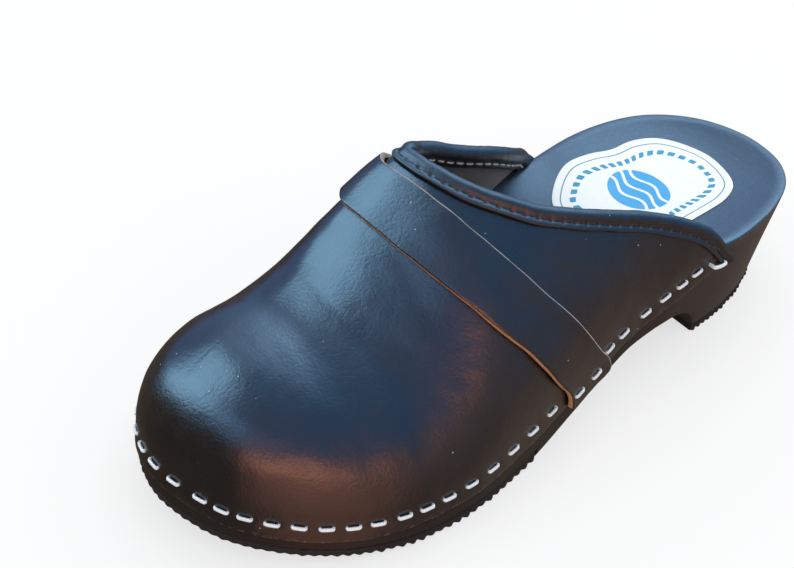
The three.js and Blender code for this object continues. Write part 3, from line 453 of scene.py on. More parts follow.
def add_piece(name, verts, faces, materials, node, attributes=None,
              material_index=None, weld=None, sharp=None):
    """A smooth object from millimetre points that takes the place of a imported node.
    attributes are per-vertex values for the materials; weld is in mm, sharp in degrees."""
    mesh = bpy.data.meshes.new(name)
    mesh.from_pydata((np.asarray(verts, float) * 0.001).tolist(), [],
                     [tuple(int(i) for i in face) for face in faces])
    for key, values in (attributes or {}).items():
        layer = mesh.attributes.new(key, "FLOAT", "POINT")
        layer.data.foreach_set("value", np.asarray(values, np.float32).ravel())
    for material in materials:
        mesh.materials.append(material)
    if material_index is not None:
        mesh.polygons.foreach_set("material_index", np.asarray(material_index, np.int32))
    work = bmesh.new()
    work.from_mesh(mesh)
    if weld:
        bmesh.ops.remove_doubles(work, verts=work.verts, dist=weld * 0.001)
        bmesh.ops.dissolve_degenerate(work, dist=1e-7, edges=work.edges)
    bmesh.ops.recalc_face_normals(work, faces=work.faces)
    if work.calc_volume(signed=True) < 0:
        bmesh.ops.reverse_faces(work, faces=work.faces)
    work.to_mesh(mesh)
    work.free()
    mesh.polygons.foreach_set("use_smooth", [True] * len(mesh.polygons))
    if sharp:
        mesh.set_sharp_from_angle(angle=math.radians(sharp))
    mesh.update()
    piece = link_object(name, mesh)
    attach(piece, "root")
    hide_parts(node)
    return piece


def link_object(name, data):
    thing = bpy.data.objects.new(name, data)
    bpy.context.scene.collection.objects.link(thing)
    return thing


# ------------------------------------------------------------------ shader helpers
class Nodes:
    """Short ways to add shader nodes; each returns an output socket, node() the node."""

    def __init__(self, tree):
        self.tree = tree
        tree.nodes.clear()

    def put(self, socket, value):
        if isinstance(value, bpy.types.NodeSocket):
            self.tree.links.new(value, socket)
        elif socket.type == "RGBA":
            socket.default_value = (*value, 1.0)
        else:
            socket.default_value = value

    def node(self, kind, inputs=(), **settings):
        node = self.tree.nodes.new("ShaderNode" + kind)
        for key, value in settings.items():
            setattr(node, key, value)
        for key, value in dict(inputs).items():
            self.put(node.inputs[key], value)
        return node

    def math(self, operation, a, b=0.0, c=0.0):
        return self.node("Math", {0: a, 1: b, 2: c}, operation=operation).outputs[0]

    def times(self, a, b):
        return self.math("MULTIPLY", a, b)

    def plus(self, a, b):
        return self.math("ADD", a, b)

    def minus(self, a, b):
        return self.math("SUBTRACT", a, b)

    def mix(self, share, a, b):
        return self.node("Mix", {0: share, 6: a, 7: b}, data_type="RGBA").outputs[2]

    def mix_value(self, share, a, b):
        return self.node("Mix", {0: share, 2: a, 3: b}).outputs[0]

    def ramp(self, value, start, end):
        """Smooth step from 0 at start to 1 at end."""
        return self.node("MapRange", {0: value, 1: start, 2: end},
                         interpolation_type="SMOOTHSTEP").outputs[0]

    def mix_shader(self, share, a, b):
        return self.node("MixShader", {0: share, 1: a, 2: b}).outputs[0]


class Surface(Nodes):
    """A material with one principled shader. Texture scales are features per mm."""

    def __init__(self, name):
        self.material = bpy.data.materials.new(name)
        self.material.use_nodes = True
        super().__init__(self.material.node_tree)
        self.shader = self.node("BsdfPrincipled")
        self.output = self.node("OutputMaterial", {"Surface": self.shader.outputs[0]})

    def finish(self, **inputs):
        for key, value in inputs.items():
            self.put(self.shader.inputs[key.replace("_", " ")], value)
        return self.material

    def pos(self, stretch=(1, 1, 1), turn=(0, 0, 0)):
        """Object coordinates in millimetres."""
        source = self.node("TexCoord").outputs["Object"]
        return self.node("Mapping", {"Vector": source, "Rotation": turn,
                                     "Scale": tuple(1000.0 * v for v in stretch)}).outputs[0]

    def noise(self, vector, scale, detail=2.0, rough=0.5, distort=0.0):
        return self.node("TexNoise", {"Vector": vector, "Scale": scale, "Detail": detail,
                                      "Roughness": rough, "Distortion": distort}).outputs[0]

    def voronoi(self, vector, scale, feature="F1"):
        return self.node("TexVoronoi", {"Vector": vector, "Scale": scale},
                         feature=feature).outputs["Distance"]

    def attr(self, name):
        return self.node("Attribute", attribute_name=name).outputs["Fac"]

    def bump(self, height, strength, depth, normal=None):
        """depth is in millimetres."""
        inputs = {"Height": height, "Strength": strength, "Distance": depth * 0.001}
        if normal is not None:
            inputs["Normal"] = normal
        return self.node("Bump", inputs).outputs[0]


# ------------------------------------------------------------------ materials
def leather(name, dark, light, tint, rough, grain, specular, chips=None):
    """Dyed grain leather; chips is the colour of bare spots where lip is near 1."""
    m = Surface(name)
    place_mm = m.pos()
    cell = m.voronoi(place_mm, scale=0.95, feature="SMOOTH_F1")
    crease = m.voronoi(m.pos((1, 0.62, 1)), scale=0.42, feature="DISTANCE_TO_EDGE")
    fine = m.noise(place_mm, scale=1.7, detail=3.0, rough=0.6)
    broad = m.noise(place_mm, scale=0.035, detail=3.0, rough=0.55)
    mid = m.noise(place_mm, scale=0.16, detail=4.0, rough=0.6)
    colour = m.mix(m.ramp(broad, 0.35, 0.7), dark, light)
    colour = m.mix(m.times(m.ramp(mid, 0.45, 0.75), 0.35), colour, tint)
    # dust specks, gathered in patches
    patches = m.math("GREATER_THAN", m.noise(place_mm, scale=0.55, detail=1.0, rough=0.2), 0.55)
    specks = m.math("LESS_THAN", m.voronoi(place_mm, scale=0.17), 0.045)
    colour = m.mix(m.times(m.times(specks, patches), 0.55), colour, (0.45, 0.5, 0.56))
    if chips:
        bare = m.ramp(m.noise(m.pos(), scale=0.7, detail=3.0, rough=0.7), 0.50, 0.66)
        colour = m.mix(m.times(m.attr("lip"), bare), colour, chips)
    roughness_value = m.plus(rough - 0.05, m.times(mid, 0.10))
    roughness_value = m.plus(roughness_value, m.times(fine, 0.04))
    # pores and creases, then fine wrinkles, then broad unevenness
    height = m.plus(m.times(cell, 0.7), m.times(fine, 0.5))
    height = m.plus(height, m.times(m.ramp(crease, 0.0, 0.12), 0.22))
    normal = m.bump(height, strength=0.42 * grain, depth=0.12)
    wrinkles = m.noise(place_mm, scale=1.35, detail=3.0, rough=0.68, distort=0.25)
    normal = m.bump(wrinkles, strength=0.26 * grain, depth=0.12, normal=normal)
    normal = m.bump(mid, strength=0.06, depth=0.8, normal=normal)
    return m.finish(Base_Color=colour, Roughness=roughness_value, Normal=normal,
                    Specular_IOR_Level=specular)


def flesh_material():
    """The unfinished inside of the leather."""
    m = Surface("leather_flesh")
    fibre = m.noise(m.pos((1, 0.35, 1)), scale=1.3, detail=5.0, rough=0.7, distort=0.6)
    broad = m.noise(m.pos(), scale=0.07, detail=3.0, rough=0.6)
    colour = m.mix(broad, (0.075, 0.066, 0.070), (0.145, 0.125, 0.128))
    colour = m.mix(m.times(fibre, 0.5), colour, (0.19, 0.165, 0.16))
    return m.finish(Base_Color=colour, Roughness=0.86, Sheen_Weight=0.25,
                    Normal=m.bump(fibre, strength=0.6, depth=0.25), Specular_IOR_Level=0.25)


def cut_edge_material(name, light, dark, stain):
    """Cut edge of the leather: fibrous, with a darker stain where lip is near 1."""
    m = Surface(name)
    place_mm = m.pos()
    fibre = m.noise(place_mm, scale=2.6, detail=4.0, rough=0.7, distort=0.8)
    blot = m.noise(place_mm, scale=0.28, detail=3.0, rough=0.6)
    stained = m.ramp(m.plus(m.times(blot, 0.8), m.times(fibre, 0.35)), 0.52, 0.74)
    colour = m.mix(fibre, light, dark)
    colour = m.mix(m.times(stained, m.attr("lip")), colour, stain)
    return m.finish(Base_Color=colour, Roughness=0.85, Specular_IOR_Level=0.2,
                    Normal=m.bump(fibre, strength=0.8, depth=0.3))


def wood_material():
    """Dark stained wood, warmer charcoal on the side. Painted light: the walking surface (top)
    is painted bluer as a painted sky reflection, with painted sheen on the sanding marks, the
    rear is painted paler, and the rim has painted highlight patches.
    """
    m = Surface("stained_wood")
    place_mm = m.pos()
    grain = m.noise(m.pos((1, 0.035, 1)), scale=0.9, detail=5.0, rough=0.65, distort=0.5)
    pores = m.noise(m.pos((1, 0.02, 0.6)), scale=3.2, detail=3.0, rough=0.6)
    # sanding marks that run slantwise over the footbed
    sand = m.noise(m.pos((0.045, 1, 1), (0, 0, -0.71)), scale=2.4, detail=3.0, rough=0.7)
    fine_sand = m.noise(m.pos((0.02, 1, 1), (0, 0, -0.62)), scale=6.0, detail=2.0, rough=0.6)
    broad = m.noise(place_mm, scale=0.03)
    top, rear, rim = m.attr("top"), m.attr("rear"), m.attr("rim")
    side_colour = m.mix(grain, (0.0080, 0.0066, 0.0060), (0.020, 0.0165, 0.0148))
    # the side is painted paler towards the rear: painted light on the lit heel side
    rear_painted_light_colour = m.mix(grain, (0.056, 0.048, 0.043), (0.098, 0.088, 0.079))
    side_colour = m.mix(rear, side_colour, rear_painted_light_colour)
    # the top is bluer and lighter than the side: the wood's dark stain plus a painted blue sky
    # reflection
    top_colour_painted_reflection = m.mix(grain, (0.010, 0.017, 0.030), (0.022, 0.033, 0.050))
    # the sanding marks are real; their pale blue colour is a painted sheen
    sanding_painted_sheen = m.times(m.ramp(sand, 0.50, 0.72), m.ramp(fine_sand, 0.35, 0.65))
    top_colour_painted_reflection = m.mix(m.times(sanding_painted_sheen, 0.80), top_colour_painted_reflection, (0.085, 0.125, 0.160))
    colour = m.mix(top, side_colour, top_colour_painted_reflection)
    colour = m.mix(m.times(m.ramp(broad, 0.5, 0.8), 0.2), colour, (0.028, 0.026, 0.026))
    # lighter patches along the rim: painted highlight
    patches = m.ramp(m.noise(place_mm, scale=0.35, detail=3.0, rough=0.6), 0.5, 0.78)
    colour = m.mix(m.times(m.times(rim, patches), 0.4), colour, (0.06, 0.065, 0.075))
    # the side is rougher than the top, the rim smoother
    rough = m.plus(0.30, m.times(pores, 0.14))
    rough = m.plus(rough, m.times(m.minus(1.0, top), 0.10))
    rough = m.minus(rough, m.times(rim, 0.14))
    rough = m.plus(rough, m.times(m.times(m.minus(fine_sand, 0.5), top), 0.35))
    height = m.plus(m.times(grain, 0.5), m.times(pores, 0.5))
    height = m.plus(height, m.times(m.times(sand, top), 1.5))
    return m.finish(Base_Color=colour, Roughness=rough,
                    Normal=m.bump(height, strength=0.24, depth=0.20),
                    Specular_IOR_Level=m.mix_value(m.math("MAXIMUM", top, rim), 0.30, 0.80))


def rubber_material():
    m = Surface("tread_rubber")
    place_mm = m.pos()
    fine = m.noise(place_mm, scale=0.8, detail=4.0, rough=0.7)
    broad = m.noise(place_mm, scale=0.06, detail=3.0, rough=0.6)
    colour = m.mix(broad, (0.010, 0.0085, 0.008), (0.026, 0.021, 0.018))
    dust = m.times(m.ramp(fine, 0.55, 0.8), 0.35)
    colour = m.mix(dust, colour, (0.055, 0.048, 0.043))
    return m.finish(Base_Color=colour, Roughness=m.plus(0.62, m.times(fine, 0.25)),
                    Normal=m.bump(fine, strength=0.5, depth=0.3), Specular_IOR_Level=0.35)


def steel_material():
    m = Surface("staple_steel")
    shade = m.noise(m.pos(), scale=0.9, detail=3.0, rough=0.6)
    fine = m.noise(m.pos(), scale=4.5)
    return m.finish(Base_Color=m.mix(shade, (0.80, 0.81, 0.81), (0.97, 0.97, 0.96)),
                    Metallic=0.22, Roughness=m.plus(0.36, m.times(fine, 0.22)),
                    Normal=m.bump(fine, strength=0.25, depth=0.12))


def thread_material(name, base, twist_colour, rough):
    m = Surface(name)
    twist = m.node("TexWave", {"Vector": m.pos(turn=(0.4, 0.7, 0.6)), "Scale": 0.55,
                               "Distortion": 1.2}).outputs["Fac"]
    colour = m.mix(m.times(twist, 0.7), base, twist_colour)
    blot = m.noise(m.pos(), scale=2.2, detail=3.0, rough=0.6)
    return m.finish(Base_Color=m.mix(m.times(blot, 0.3), colour, base), Roughness=rough,
                    Normal=m.bump(twist, strength=0.7, depth=0.15), Specular_IOR_Level=0.3)


def foam_material():
    m = Surface("foam_cord")
    cell = m.voronoi(m.pos(), scale=1.6)
    return m.finish(Base_Color=m.mix(cell, (0.42, 0.39, 0.33), (0.20, 0.18, 0.15)),
                    Roughness=0.95, Normal=m.bump(cell, strength=0.8, depth=0.4))


def label_material():
    """White paper with a line near its edge; edge is in mm, ink and dash are masks."""
    m = Surface("label_print")
    place_mm = m.pos()
    paper = m.noise(place_mm, scale=0.12, detail=3.0, rough=0.6)
    colour = m.mix(paper, (0.83, 0.86, 0.87), (0.90, 0.92, 0.92))
    blue = m.mix(m.noise(place_mm, scale=0.05), (0.030, 0.30, 0.62), (0.075, 0.40, 0.70))
    edge = m.attr("edge")
    line = m.times(m.math("GREATER_THAN", edge, 2.75), m.math("LESS_THAN", edge, 3.2))
    colour = m.mix(m.times(line, 0.85), colour, (0.018, 0.14, 0.20))
    colour = m.mix(m.ramp(m.attr("ink"), 0.42, 0.58), colour, blue)
    colour = m.mix(m.ramp(m.attr("dash"), 0.42, 0.58), colour, (0.040, 0.27, 0.42))
    normal = m.bump(m.noise(place_mm, scale=1.4), strength=0.12, depth=0.08)
    return m.finish(Base_Color=colour, Roughness=0.42, Normal=normal, Specular_IOR_Level=0.4)


BINDING = leather("leather_binding", dark=(0.0050, 0.0053, 0.0068),
                  light=(0.0100, 0.0094, 0.0096), tint=(0.014, 0.012, 0.010),
                  rough=0.38, grain=1.1, specular=0.85)
GLOSSY = dict(tint=(0.012, 0.010, 0.009), rough=0.27, grain=1.0, specular=0.95)
UPPER_GRAIN = leather("leather_upper", dark=(0.0040, 0.0043, 0.0060),
                      light=(0.0078, 0.0075, 0.0084), chips=(0.16, 0.085, 0.05), **GLOSSY)
STRAP_GRAIN = leather("leather_strap", dark=(0.0042, 0.0045, 0.0060),
                      light=(0.0080, 0.0078, 0.0084), **GLOSSY)
FLESH = flesh_material()
CUT_STRAP = cut_edge_material("leather_cut_strap", light=(0.60, 0.265, 0.120),
                              dark=(0.42, 0.175, 0.080), stain=(0.16, 0.07, 0.035))
# the strap's rear cut edge: the same raw leather edge, painted pale as a painted highlight
CUT_PAINTED_HIGHLIGHT = cut_edge_material("leather_cut_painted_highlight", light=(0.50, 0.44, 0.40),
                             dark=(0.34, 0.28, 0.25), stain=(0.06, 0.05, 0.05))
CUT_LOWER = cut_edge_material("leather_cut_lower", light=(0.20, 0.090, 0.045),
                              dark=(0.09, 0.040, 0.022), stain=(0.012, 0.010, 0.010))
WOOD, RUBBER, STEEL = wood_material(), rubber_material(), steel_material()
FOAM, LABEL = foam_material(), label_material()
BLACK_THREAD = thread_material("thread_black", base=(0.006, 0.006, 0.007),
                               twist_colour=(0.020, 0.020, 0.022), rough=0.7)
CREAM_THREAD = thread_material("thread_cream", base=(0.62, 0.58, 0.50),
                               twist_colour=(0.34, 0.31, 0.27), rough=0.8)


# ------------------------------------------------------------------ wooden sole
def under(along, fore):
    """Underside of the wood; fore is true where the front tread is let in."""
    let_in = TREAD_THICK + FIT
    z = np.where(along < BREAST_END, breast_z(along), ground_z(along))
    z = np.where(along < HEEL_PAD_END, np.maximum(z, let_in), z)
    return z + np.where(fore, let_in, 0)


def arch(along, side):
    if side == OUTER:
        return 0.0
    return ARCH_RISE * ease(along, 78, 108) * (1 - ease(along, 118, 165))


def footbed(along, side, share):
    """Height of the footbed; share runs from 0 at the rim to 1 at the middle line."""
    return (rim_z(along) + arch(along, side) * (1 - share) ** 2
            - cup_depth(along) * (1 - (1 - share) ** 2))


def wall_inset(along, z):
    taper = HEEL_TAPER + (FORE_TAPER - HEEL_TAPER) * ease(along, 68, 125)
    full_height = 42.7 + (edge_z(along) - 42.7) * ease(along, 56, 90)
    return taper * np.maximum(0, 1 - z / full_height)


def sole_half(side, walk, is_end, middle):
    """Rows from under the middle, up the side and in over the footbed. The columns
    of a point are X, Y, Z and the masks top, rim and rear."""
    edge, edge_x = EDGES[side].at(walk)
    normal = outline_normal(side, walk)
    fore = edge > TREAD_BACK
    rows = []

    def inward(depth):
        return edge - normal[:, 0] * depth, edge_x - normal[:, 1] * depth

    def towards_middle(start, share):
        return tuple(a + (b - a) * share for a, b in zip(start, middle))

    def add(plan, z, top=0.0, rim=0.0):
        # rear is 1 at the heel end, where the wood's side is painted paler as painted light
        rear = 1 - 0.75 * ease(plan[0], 12, 62) - 0.25 * ease(plan[0], 60, 100)
        masks = np.stack(np.broadcast_arrays(top, rim, rear), -1)
        rows.append(np.concatenate([place(*plan, z), masks], -1))

    # underside and its rounded edge
    bottom = under(edge, fore)
    plan = inward(wall_inset(edge, bottom))
    bottom = np.where(is_end, under(plan[0], fore), bottom)
    start = inward(wall_inset(edge, bottom) + WOOD_CORNER)
    for share in (1.0, 0.75, 0.5, 0.3, 0.15, 0.06):
        plan = towards_middle(start, share)
        add(plan, np.where(is_end, under(plan[0], fore), bottom))
    for depth, up in ((1.0, 0.0), (0.5, 0.13), (0.13, 0.5)):
        depth, up = depth * WOOD_CORNER, up * WOOD_CORNER
        plan = inward(wall_inset(edge, bottom + up) + depth)
        add(plan, np.where(is_end, under(plan[0], fore), bottom) + up)

    # side wall up to the ledge; stepped is 1 where there is a ledge, 0 round the heel
    ledge = np.minimum(edge_z(edge) - FIT, rim_z(edge) - 5.6)
    if side == OUTER:
        stepped = 0.10 * ease(edge, 54, 66) + 0.90 * ease(edge, 66, 98)
    else:
        stepped = 0.06 * ease(edge, 56, 80) + 0.94 * ease(edge, 94, 124)
    bulge = 0.12 * wobble(place(edge, edge_x, ledge), 26, 31)
    low = bottom + WOOD_CORNER
    for share in np.linspace(0, 1, 9):
        z = low + (ledge - 0.9 - low) * share
        add(inward(wall_inset(edge, z) - bulge * np.sin(np.pi * share)), z)
    for depth, drop in ((0.25, 0.28 * stepped + 0.3 * (1 - stepped)), (0.9, 0.0)):
        z = ledge - drop
        add(inward(wall_inset(edge, z) + depth * stepped), z)

    # floor of the ledge, then the wall behind the leather
    extra = (REBATE_IN_COLLAR - REBATE_IN) * (1 - ease(edge, 86, 104))
    floor_depth = (REBATE_IN + extra) * stepped
    add(inward(floor_depth + wall_inset(edge, ledge) * (1 - stepped)), ledge + 0.02)
    span = np.maximum(rim_z(edge) + arch(edge, side) - 1.3 - ledge, 1.0)
    leather_walk = np.minimum(walk, EDGES[side].walk_at(56.0))
    for rise in (0.6, 3.0, 6.0, 9.5):
        climb = climb_for(side, leather_walk, rise)
        behind = (upper_point(side, leather_walk, climb)
                  - upper_normal(side, leather_walk, climb)
                  * (LEATHER + 0.8 + extra)[:, None])
        depth = -((CENTRE_ALONG - behind[:, 1] - edge) * normal[:, 0]
                  + (behind[:, 0] + CENTRE_X - edge_x) * normal[:, 1])
        depth = np.maximum(depth, floor_depth)
        z = ledge + span * rise / 9.5
        add(inward(depth * stepped + wall_inset(edge, z) * (1 - stepped)), z,
            rim=0.4 * rise / 9.5)

    # rounded rim, wider round the fore part than at the heel, and the hollowed footbed
    rim_depth = depth * stepped
    rim_start = inward(3.0)
    reach = np.hypot(middle[0] - rim_start[0], middle[1] - rim_start[1])
    wide = 0.45 * ease(edge, 30, 62)
    # depth and drop of a tight rounding, depth and drop of a wide one, top, rim
    for tight_in, tight_drop, wide_in, wide_drop, top, rim in (
            (0.05, -0.50, 0.08, -0.75, 0.4, 1.0), (0.25, -0.20, 0.5, -0.42, 0.7, 1.0),
            (0.7, -0.06, 1.5, -0.20, 0.95, 1.0), (1.6, -0.01, 2.9, -0.02, 1.0, 0.5),
            (3.4, 0.0, 3.4, 0.0, 1.0, 0.15)):
        depth = rim_depth + tight_in * (1 - wide) + wide_in * wide
        plan = inward(depth)
        drop = tight_drop * (1 - wide) + wide_drop * wide
        share = np.clip((depth - 3.0) / reach, 0, 1)
        add(plan, footbed(plan[0], side, share) + drop, top, rim)
    start = inward(rim_depth + 3.4)
    first = np.clip((rim_depth + 0.4) / reach, 0, 1)
    for share in (0.03, 0.07, 0.12, 0.2, 0.3, 0.4, 0.5, 0.6, 0.7, 0.8, 0.9, 1.0):
        plan = towards_middle(start, share)
        add(plan, footbed(plan[0], side, first + (1 - first) * share), top=1.0)
    return np.stack(rows)


def make_sole():
    # stations between the rounded ends, closer together at the tread's step and breast
    straight = np.r_[
        np.arange(168, 152.2, -1.6), 151.8, 151.3, 151.02, 150.98, 150.6, 150.0,
        np.arange(148.5, 92, -1.8), np.arange(91.5, 72, -1.0), np.arange(71.5, 60, -0.45),
        np.arange(60, 50.2, -0.5), 50.0]
    toe_count, heel_count = 90, 84
    walks = {}
    for side, edge in EDGES.items():
        toe, heel = float(edge.walk_at(TOE_FAN)), float(edge.walk_at(HEEL_FAN))
        walks[side] = np.r_[
            toe * np.arange(toe_count) / toe_count, edge.walk_at(straight),
            heel + (edge.total - heel) * np.arange(1, heel_count + 1) / heel_count]
    is_end = np.r_[np.ones(toe_count, bool), np.zeros(len(straight), bool),
                   np.ones(heel_count, bool)]
    middle = middle_line(walks)
    outer, inner = (sole_half(side, walks[side], is_end, middle) for side in EDGES)
    # one ring: the outer half, then the inner half back to the tip; the ends are shared
    ring = np.concatenate([outer, inner[:, -2:0:-1]], 1)
    for column in (0, len(is_end) - 1):
        ring[:, column] = (outer[:, column] + inner[:, column]) / 2
    faces = grid_faces(*ring.shape[:2], wrap=True)
    masks = {"top": ring[..., 3], "rim": ring[..., 4], "rear": ring[..., 5]}
    return add_piece("Sole_wood", ring[..., :3].reshape(-1, 3), faces, [WOOD],
                     "wooden_sole", masks, weld=0.01, sharp=38)


sole = make_sole()
SOLE_TREE = BVHTree.FromPolygons([tuple(v.co * 1000) for v in sole.data.vertices],
                                 [tuple(p.vertices) for p in sole.data.polygons])


def top_of_sole(x, y):
    hit = SOLE_TREE.ray_cast(Vector((float(x), float(y), 70.0)), Vector((0, 0, -1)))[0]
    return hit.z if hit is not None else 40.0


# ------------------------------------------------------------------ places of the staples
# point lies on the leather; out, across and up are the staple's axes; lift is the height
# of what it holds above the leather
Staple = namedtuple("Staple", "name point out across up lift crown leg")


def staple_at(name, side, walk, rise=STAPLE_RISE, lift=0.0, crown=STAPLE_CROWN,
              leg=STAPLE_LEG, turn=0.0):
    walk = float(walk)
    if walk < 0:
        side, walk = -side, -walk

    def on_line(at):
        return upper_point(side, at, float(climb_for(side, at, rise)))

    climb = float(climb_for(side, walk, rise))
    out = upper_normal(side, walk, climb)
    across = on_line(walk + 1) - on_line(max(walk - 1, 0))
    across = unit(across - out * (across @ out))
    if turn:
        angle = turn * side
        across = across * math.cos(angle) + np.cross(out, across) * math.sin(angle)
    return Staple(name, upper_point(side, walk, climb), out, across, np.cross(across, out),
                  lift, crown, leg)


def place_staples():
    outer, inner = EDGES[OUTER], EDGES[INNER]
    toe = float(outer.walk_at(OUTER_STAPLES[0]))
    walks = [toe + step for step in reversed(TIP_STAPLES)]
    walks += [outer.walk_at(along) for along in OUTER_STAPLES]
    staples = [staple_at(f"staple_outer_{i:02d}", OUTER, walk)
               for i, walk in enumerate(walks, 1)]
    # the inner row is evenly spaced in front of and behind the strap
    front_start = -(toe + TIP_STAPLES[-1]) + 9.6
    front_end, rear_start, rear_end = (float(inner.walk_at(v)) for v in (144.5, 115.5, 89))
    front, rear = front_end - front_start, rear_end - rear_start
    front_count = round(INNER_STAPLE_COUNT * front / (front + rear))
    walks = np.r_[np.linspace(front_start, front_end, front_count),
                  np.linspace(rear_start, rear_end, INNER_STAPLE_COUNT - front_count)]
    staples += [staple_at(f"staple_inner_{i:02d}", INNER, walk)
                for i, walk in enumerate(walks, 1)]
    for side, word in ((OUTER, "outer"), (INNER, "inner")):
        for end, along in (("front", 135.2), ("rear", 126.3)):
            staples.append(staple_at(
                f"staple_strap_{word}_{end}", side, EDGES[side].walk_at(along), rise=5.2,
                lift=LEATHER + 0.4, leg=STAPLE_LEG + LEATHER))
    staples.append(staple_at("staple_collar_outer", OUTER, outer.walk_at(65.2), rise=3.4,
                             lift=1.6, crown=7.0, leg=11.5, turn=-0.4))
    return staples


STAPLES = place_staples()


def dent(points, staples, depth, reach_across, reach_up, pucker):
    """Offset of the leather where staples press it in."""
    flat = points.reshape(-1, 3)
    offset = np.zeros(len(flat))
    for staple in staples:
        away = flat - staple.point
        near = np.where((np.abs(away) < 12).all(-1))[0]
        across, up, out = (away[near] @ axis
                           for axis in (staple.across, staple.up, staple.out))
        beyond = np.maximum(np.abs(across) - staple.crown / 2 + 0.9, 0)
        core = np.exp(-(beyond / reach_across) ** 2 - (up / reach_up) ** 2)
        wide = np.exp(-(across / 4.2) ** 2 - (up / 3.4) ** 2)
        offset[near] += np.where(np.abs(out) < 5, -depth * core - pucker * wide, 0)
    return offset.reshape(points.shape[:-1])


# ------------------------------------------------------------------ leather upper
def even_climbs(count, walk, dense):
    """Climbs that step evenly up the outer surface, closer together near the sole."""
    climb = np.linspace(0, 1, 3000) ** 1.6
    travelled = lengths(upper_point(OUTER, walk, climb))
    weight = 1 + dense * np.exp(-travelled[:-1] / 7.0)
    weighted = np.r_[0, np.cumsum(np.diff(travelled) * weight)]
    return np.interp(np.linspace(0, weighted[-1], count), weighted, climb)


def make_upper():
    rows, half = 84, 210
    columns = 2 * half + 1
    climb = even_climbs(rows + 1, walk=90.0, dense=1.6)
    climb[0], climb[-1] = 0.0, 1.0
    ends = {side: walk_for(side, climb, top_line[side](share_in(climb))) for side in EDGES}
    ends[OUTER][-1] = ends[INNER][-1] = (ends[OUTER][-1] + ends[INNER][-1]) / 2
    # columns run from the inner end of the top line round the toe to the outer end
    column = (np.arange(-half, half + 1) / half)[None, :]
    side = np.where(column >= 0, 1.0, -1.0) * np.ones((rows + 1, 1))
    walk = np.abs(column) * np.where(column >= 0, ends[OUTER][:, None], ends[INNER][:, None])
    climbs = climb[:, None] * np.ones_like(walk)
    base = upper_point(side, walk, climbs)
    normal = upper_normal(side, walk, climbs)
    above = np.maximum(base[..., 2] - base[0][None, :, 2], 0)
    swell = 0.16 * wobble(base, 34, 5) + 0.05 * wobble(base, 11, 6)
    swell = swell + dent(base, STAPLES, depth=0.34, reach_across=0.8, reach_up=0.85,
                         pucker=0.30)
    # the lower edge swells a little
    low = np.exp(-(above / 4.5) ** 2)
    swell = swell + 0.28 * low + 0.10 * low * wobble(base, 9, 8)
    # both halves meet on the ridge
    swell[-1] = (swell[-1] + swell[-1][::-1]) / 2
    normal[-1] = unit(normal[-1] + normal[-1][::-1])
    outside = base + normal * swell[..., None]
    inside = base - normal * LEATHER

    def lip_row(out, drop):
        return base[0] + normal[0] * np.asarray(out)[..., None] - np.array([0, 0, drop])

    # inside from the ridge down, the rounded cut edge, the outside from the sole up
    verts = np.vstack([
        inside[::-1].reshape(-1, 3), lip_row(0.35 - LEATHER, 0.25),
        lip_row(swell[0] - 0.45, 0.25), lip_row(swell[0] - 0.05, 0.10),
        outside.reshape(-1, 3)])
    quads = grid_faces(2 * rows + 5, columns)
    row = quads[:, 0] // columns
    index = np.where(row < rows, 1, np.where(row < rows + 3, 2, 0)).tolist()
    faces = quads.tolist()
    # close the leather along the top line
    for end in (0, columns - 1):
        for r in range(rows):
            faces.append([k * columns + end for k in (rows - r, rows + 4 + r,
                                                      rows + 5 + r, rows - r - 1)])
        faces.append([k * columns + end for k in (rows, rows + 4, rows + 3, rows + 2,
                                                  rows + 1)])
    index += [1] * (len(faces) - len(quads))
    lip = np.r_[np.zeros((rows + 1) * columns), np.ones(3 * columns),
                np.exp(-above / 0.5).ravel()]
    add_piece("Upper_leather", verts, faces, [UPPER_GRAIN, FLESH, CUT_LOWER],
              "upper_leather", {"lip": lip}, index, weld=0.02, sharp=50)


make_upper()

# ------------------------------------------------------------------ collar and its seams
# Frames along the top line, from the outer to the inner side: ahead runs along it, out
# away from the foot, over across the top line past the cut edge; scale is the roll's size
TopLine = namedtuple("TopLine", "travel points ahead out over scale")


def topline_path(step):
    across = np.clip(1 - np.cos(np.linspace(0, np.pi, 6001)), 1e-5, 2 - 1e-5)

    def surface(across):
        share = share_in(fold(across)[1])
        return walk_between(across, top_line[OUTER](share), top_line[INNER](share))

    rough_travel = lengths(upper_point(*surface(across)))
    count = int(round(rough_travel[-1] / step))
    travel = np.linspace(0, rough_travel[-1], count + 1)
    side, walk, climb = surface(np.interp(travel, rough_travel, across))
    points = upper_point(side, walk, climb)
    rearward = upper_point(side, walk + 1, climb) - points
    reach = max(1, int(round(2.4 / step)))

    def soften(v):
        weights = np.ones(2 * reach + 1) / (2 * reach + 1)
        padded = np.pad(v, ((reach, reach), (0, 0)), mode="edge")
        return unit(np.stack([np.convolve(padded[:, i], weights, "valid")
                              for i in range(3)], -1))

    ahead = soften(unit(np.gradient(points, axis=0)))
    out = soften(upper_normal(side, walk, climb))
    out = unit(out - ahead * (out * ahead).sum(-1, keepdims=True))
    over = np.cross(ahead, out)
    over *= np.sign((over * rearward).sum(-1, keepdims=True))
    scale = 0.62 + 0.38 * ease(np.minimum(travel, travel[-1] - travel), 0, 20)
    return TopLine(travel, points, ahead, out, over, scale)


TOPLINE_STEP = 0.55
TOPLINE = topline_path(TOPLINE_STEP)
LEATHER_MIDDLE = -LEATHER / 2


def roll_arc(radius, start, end, count):
    angle = np.radians(np.linspace(start, end, count))
    return [(LEATHER_MIDDLE + radius * math.cos(v), ROLL_RISE + radius * math.sin(v))
            for v in angle]


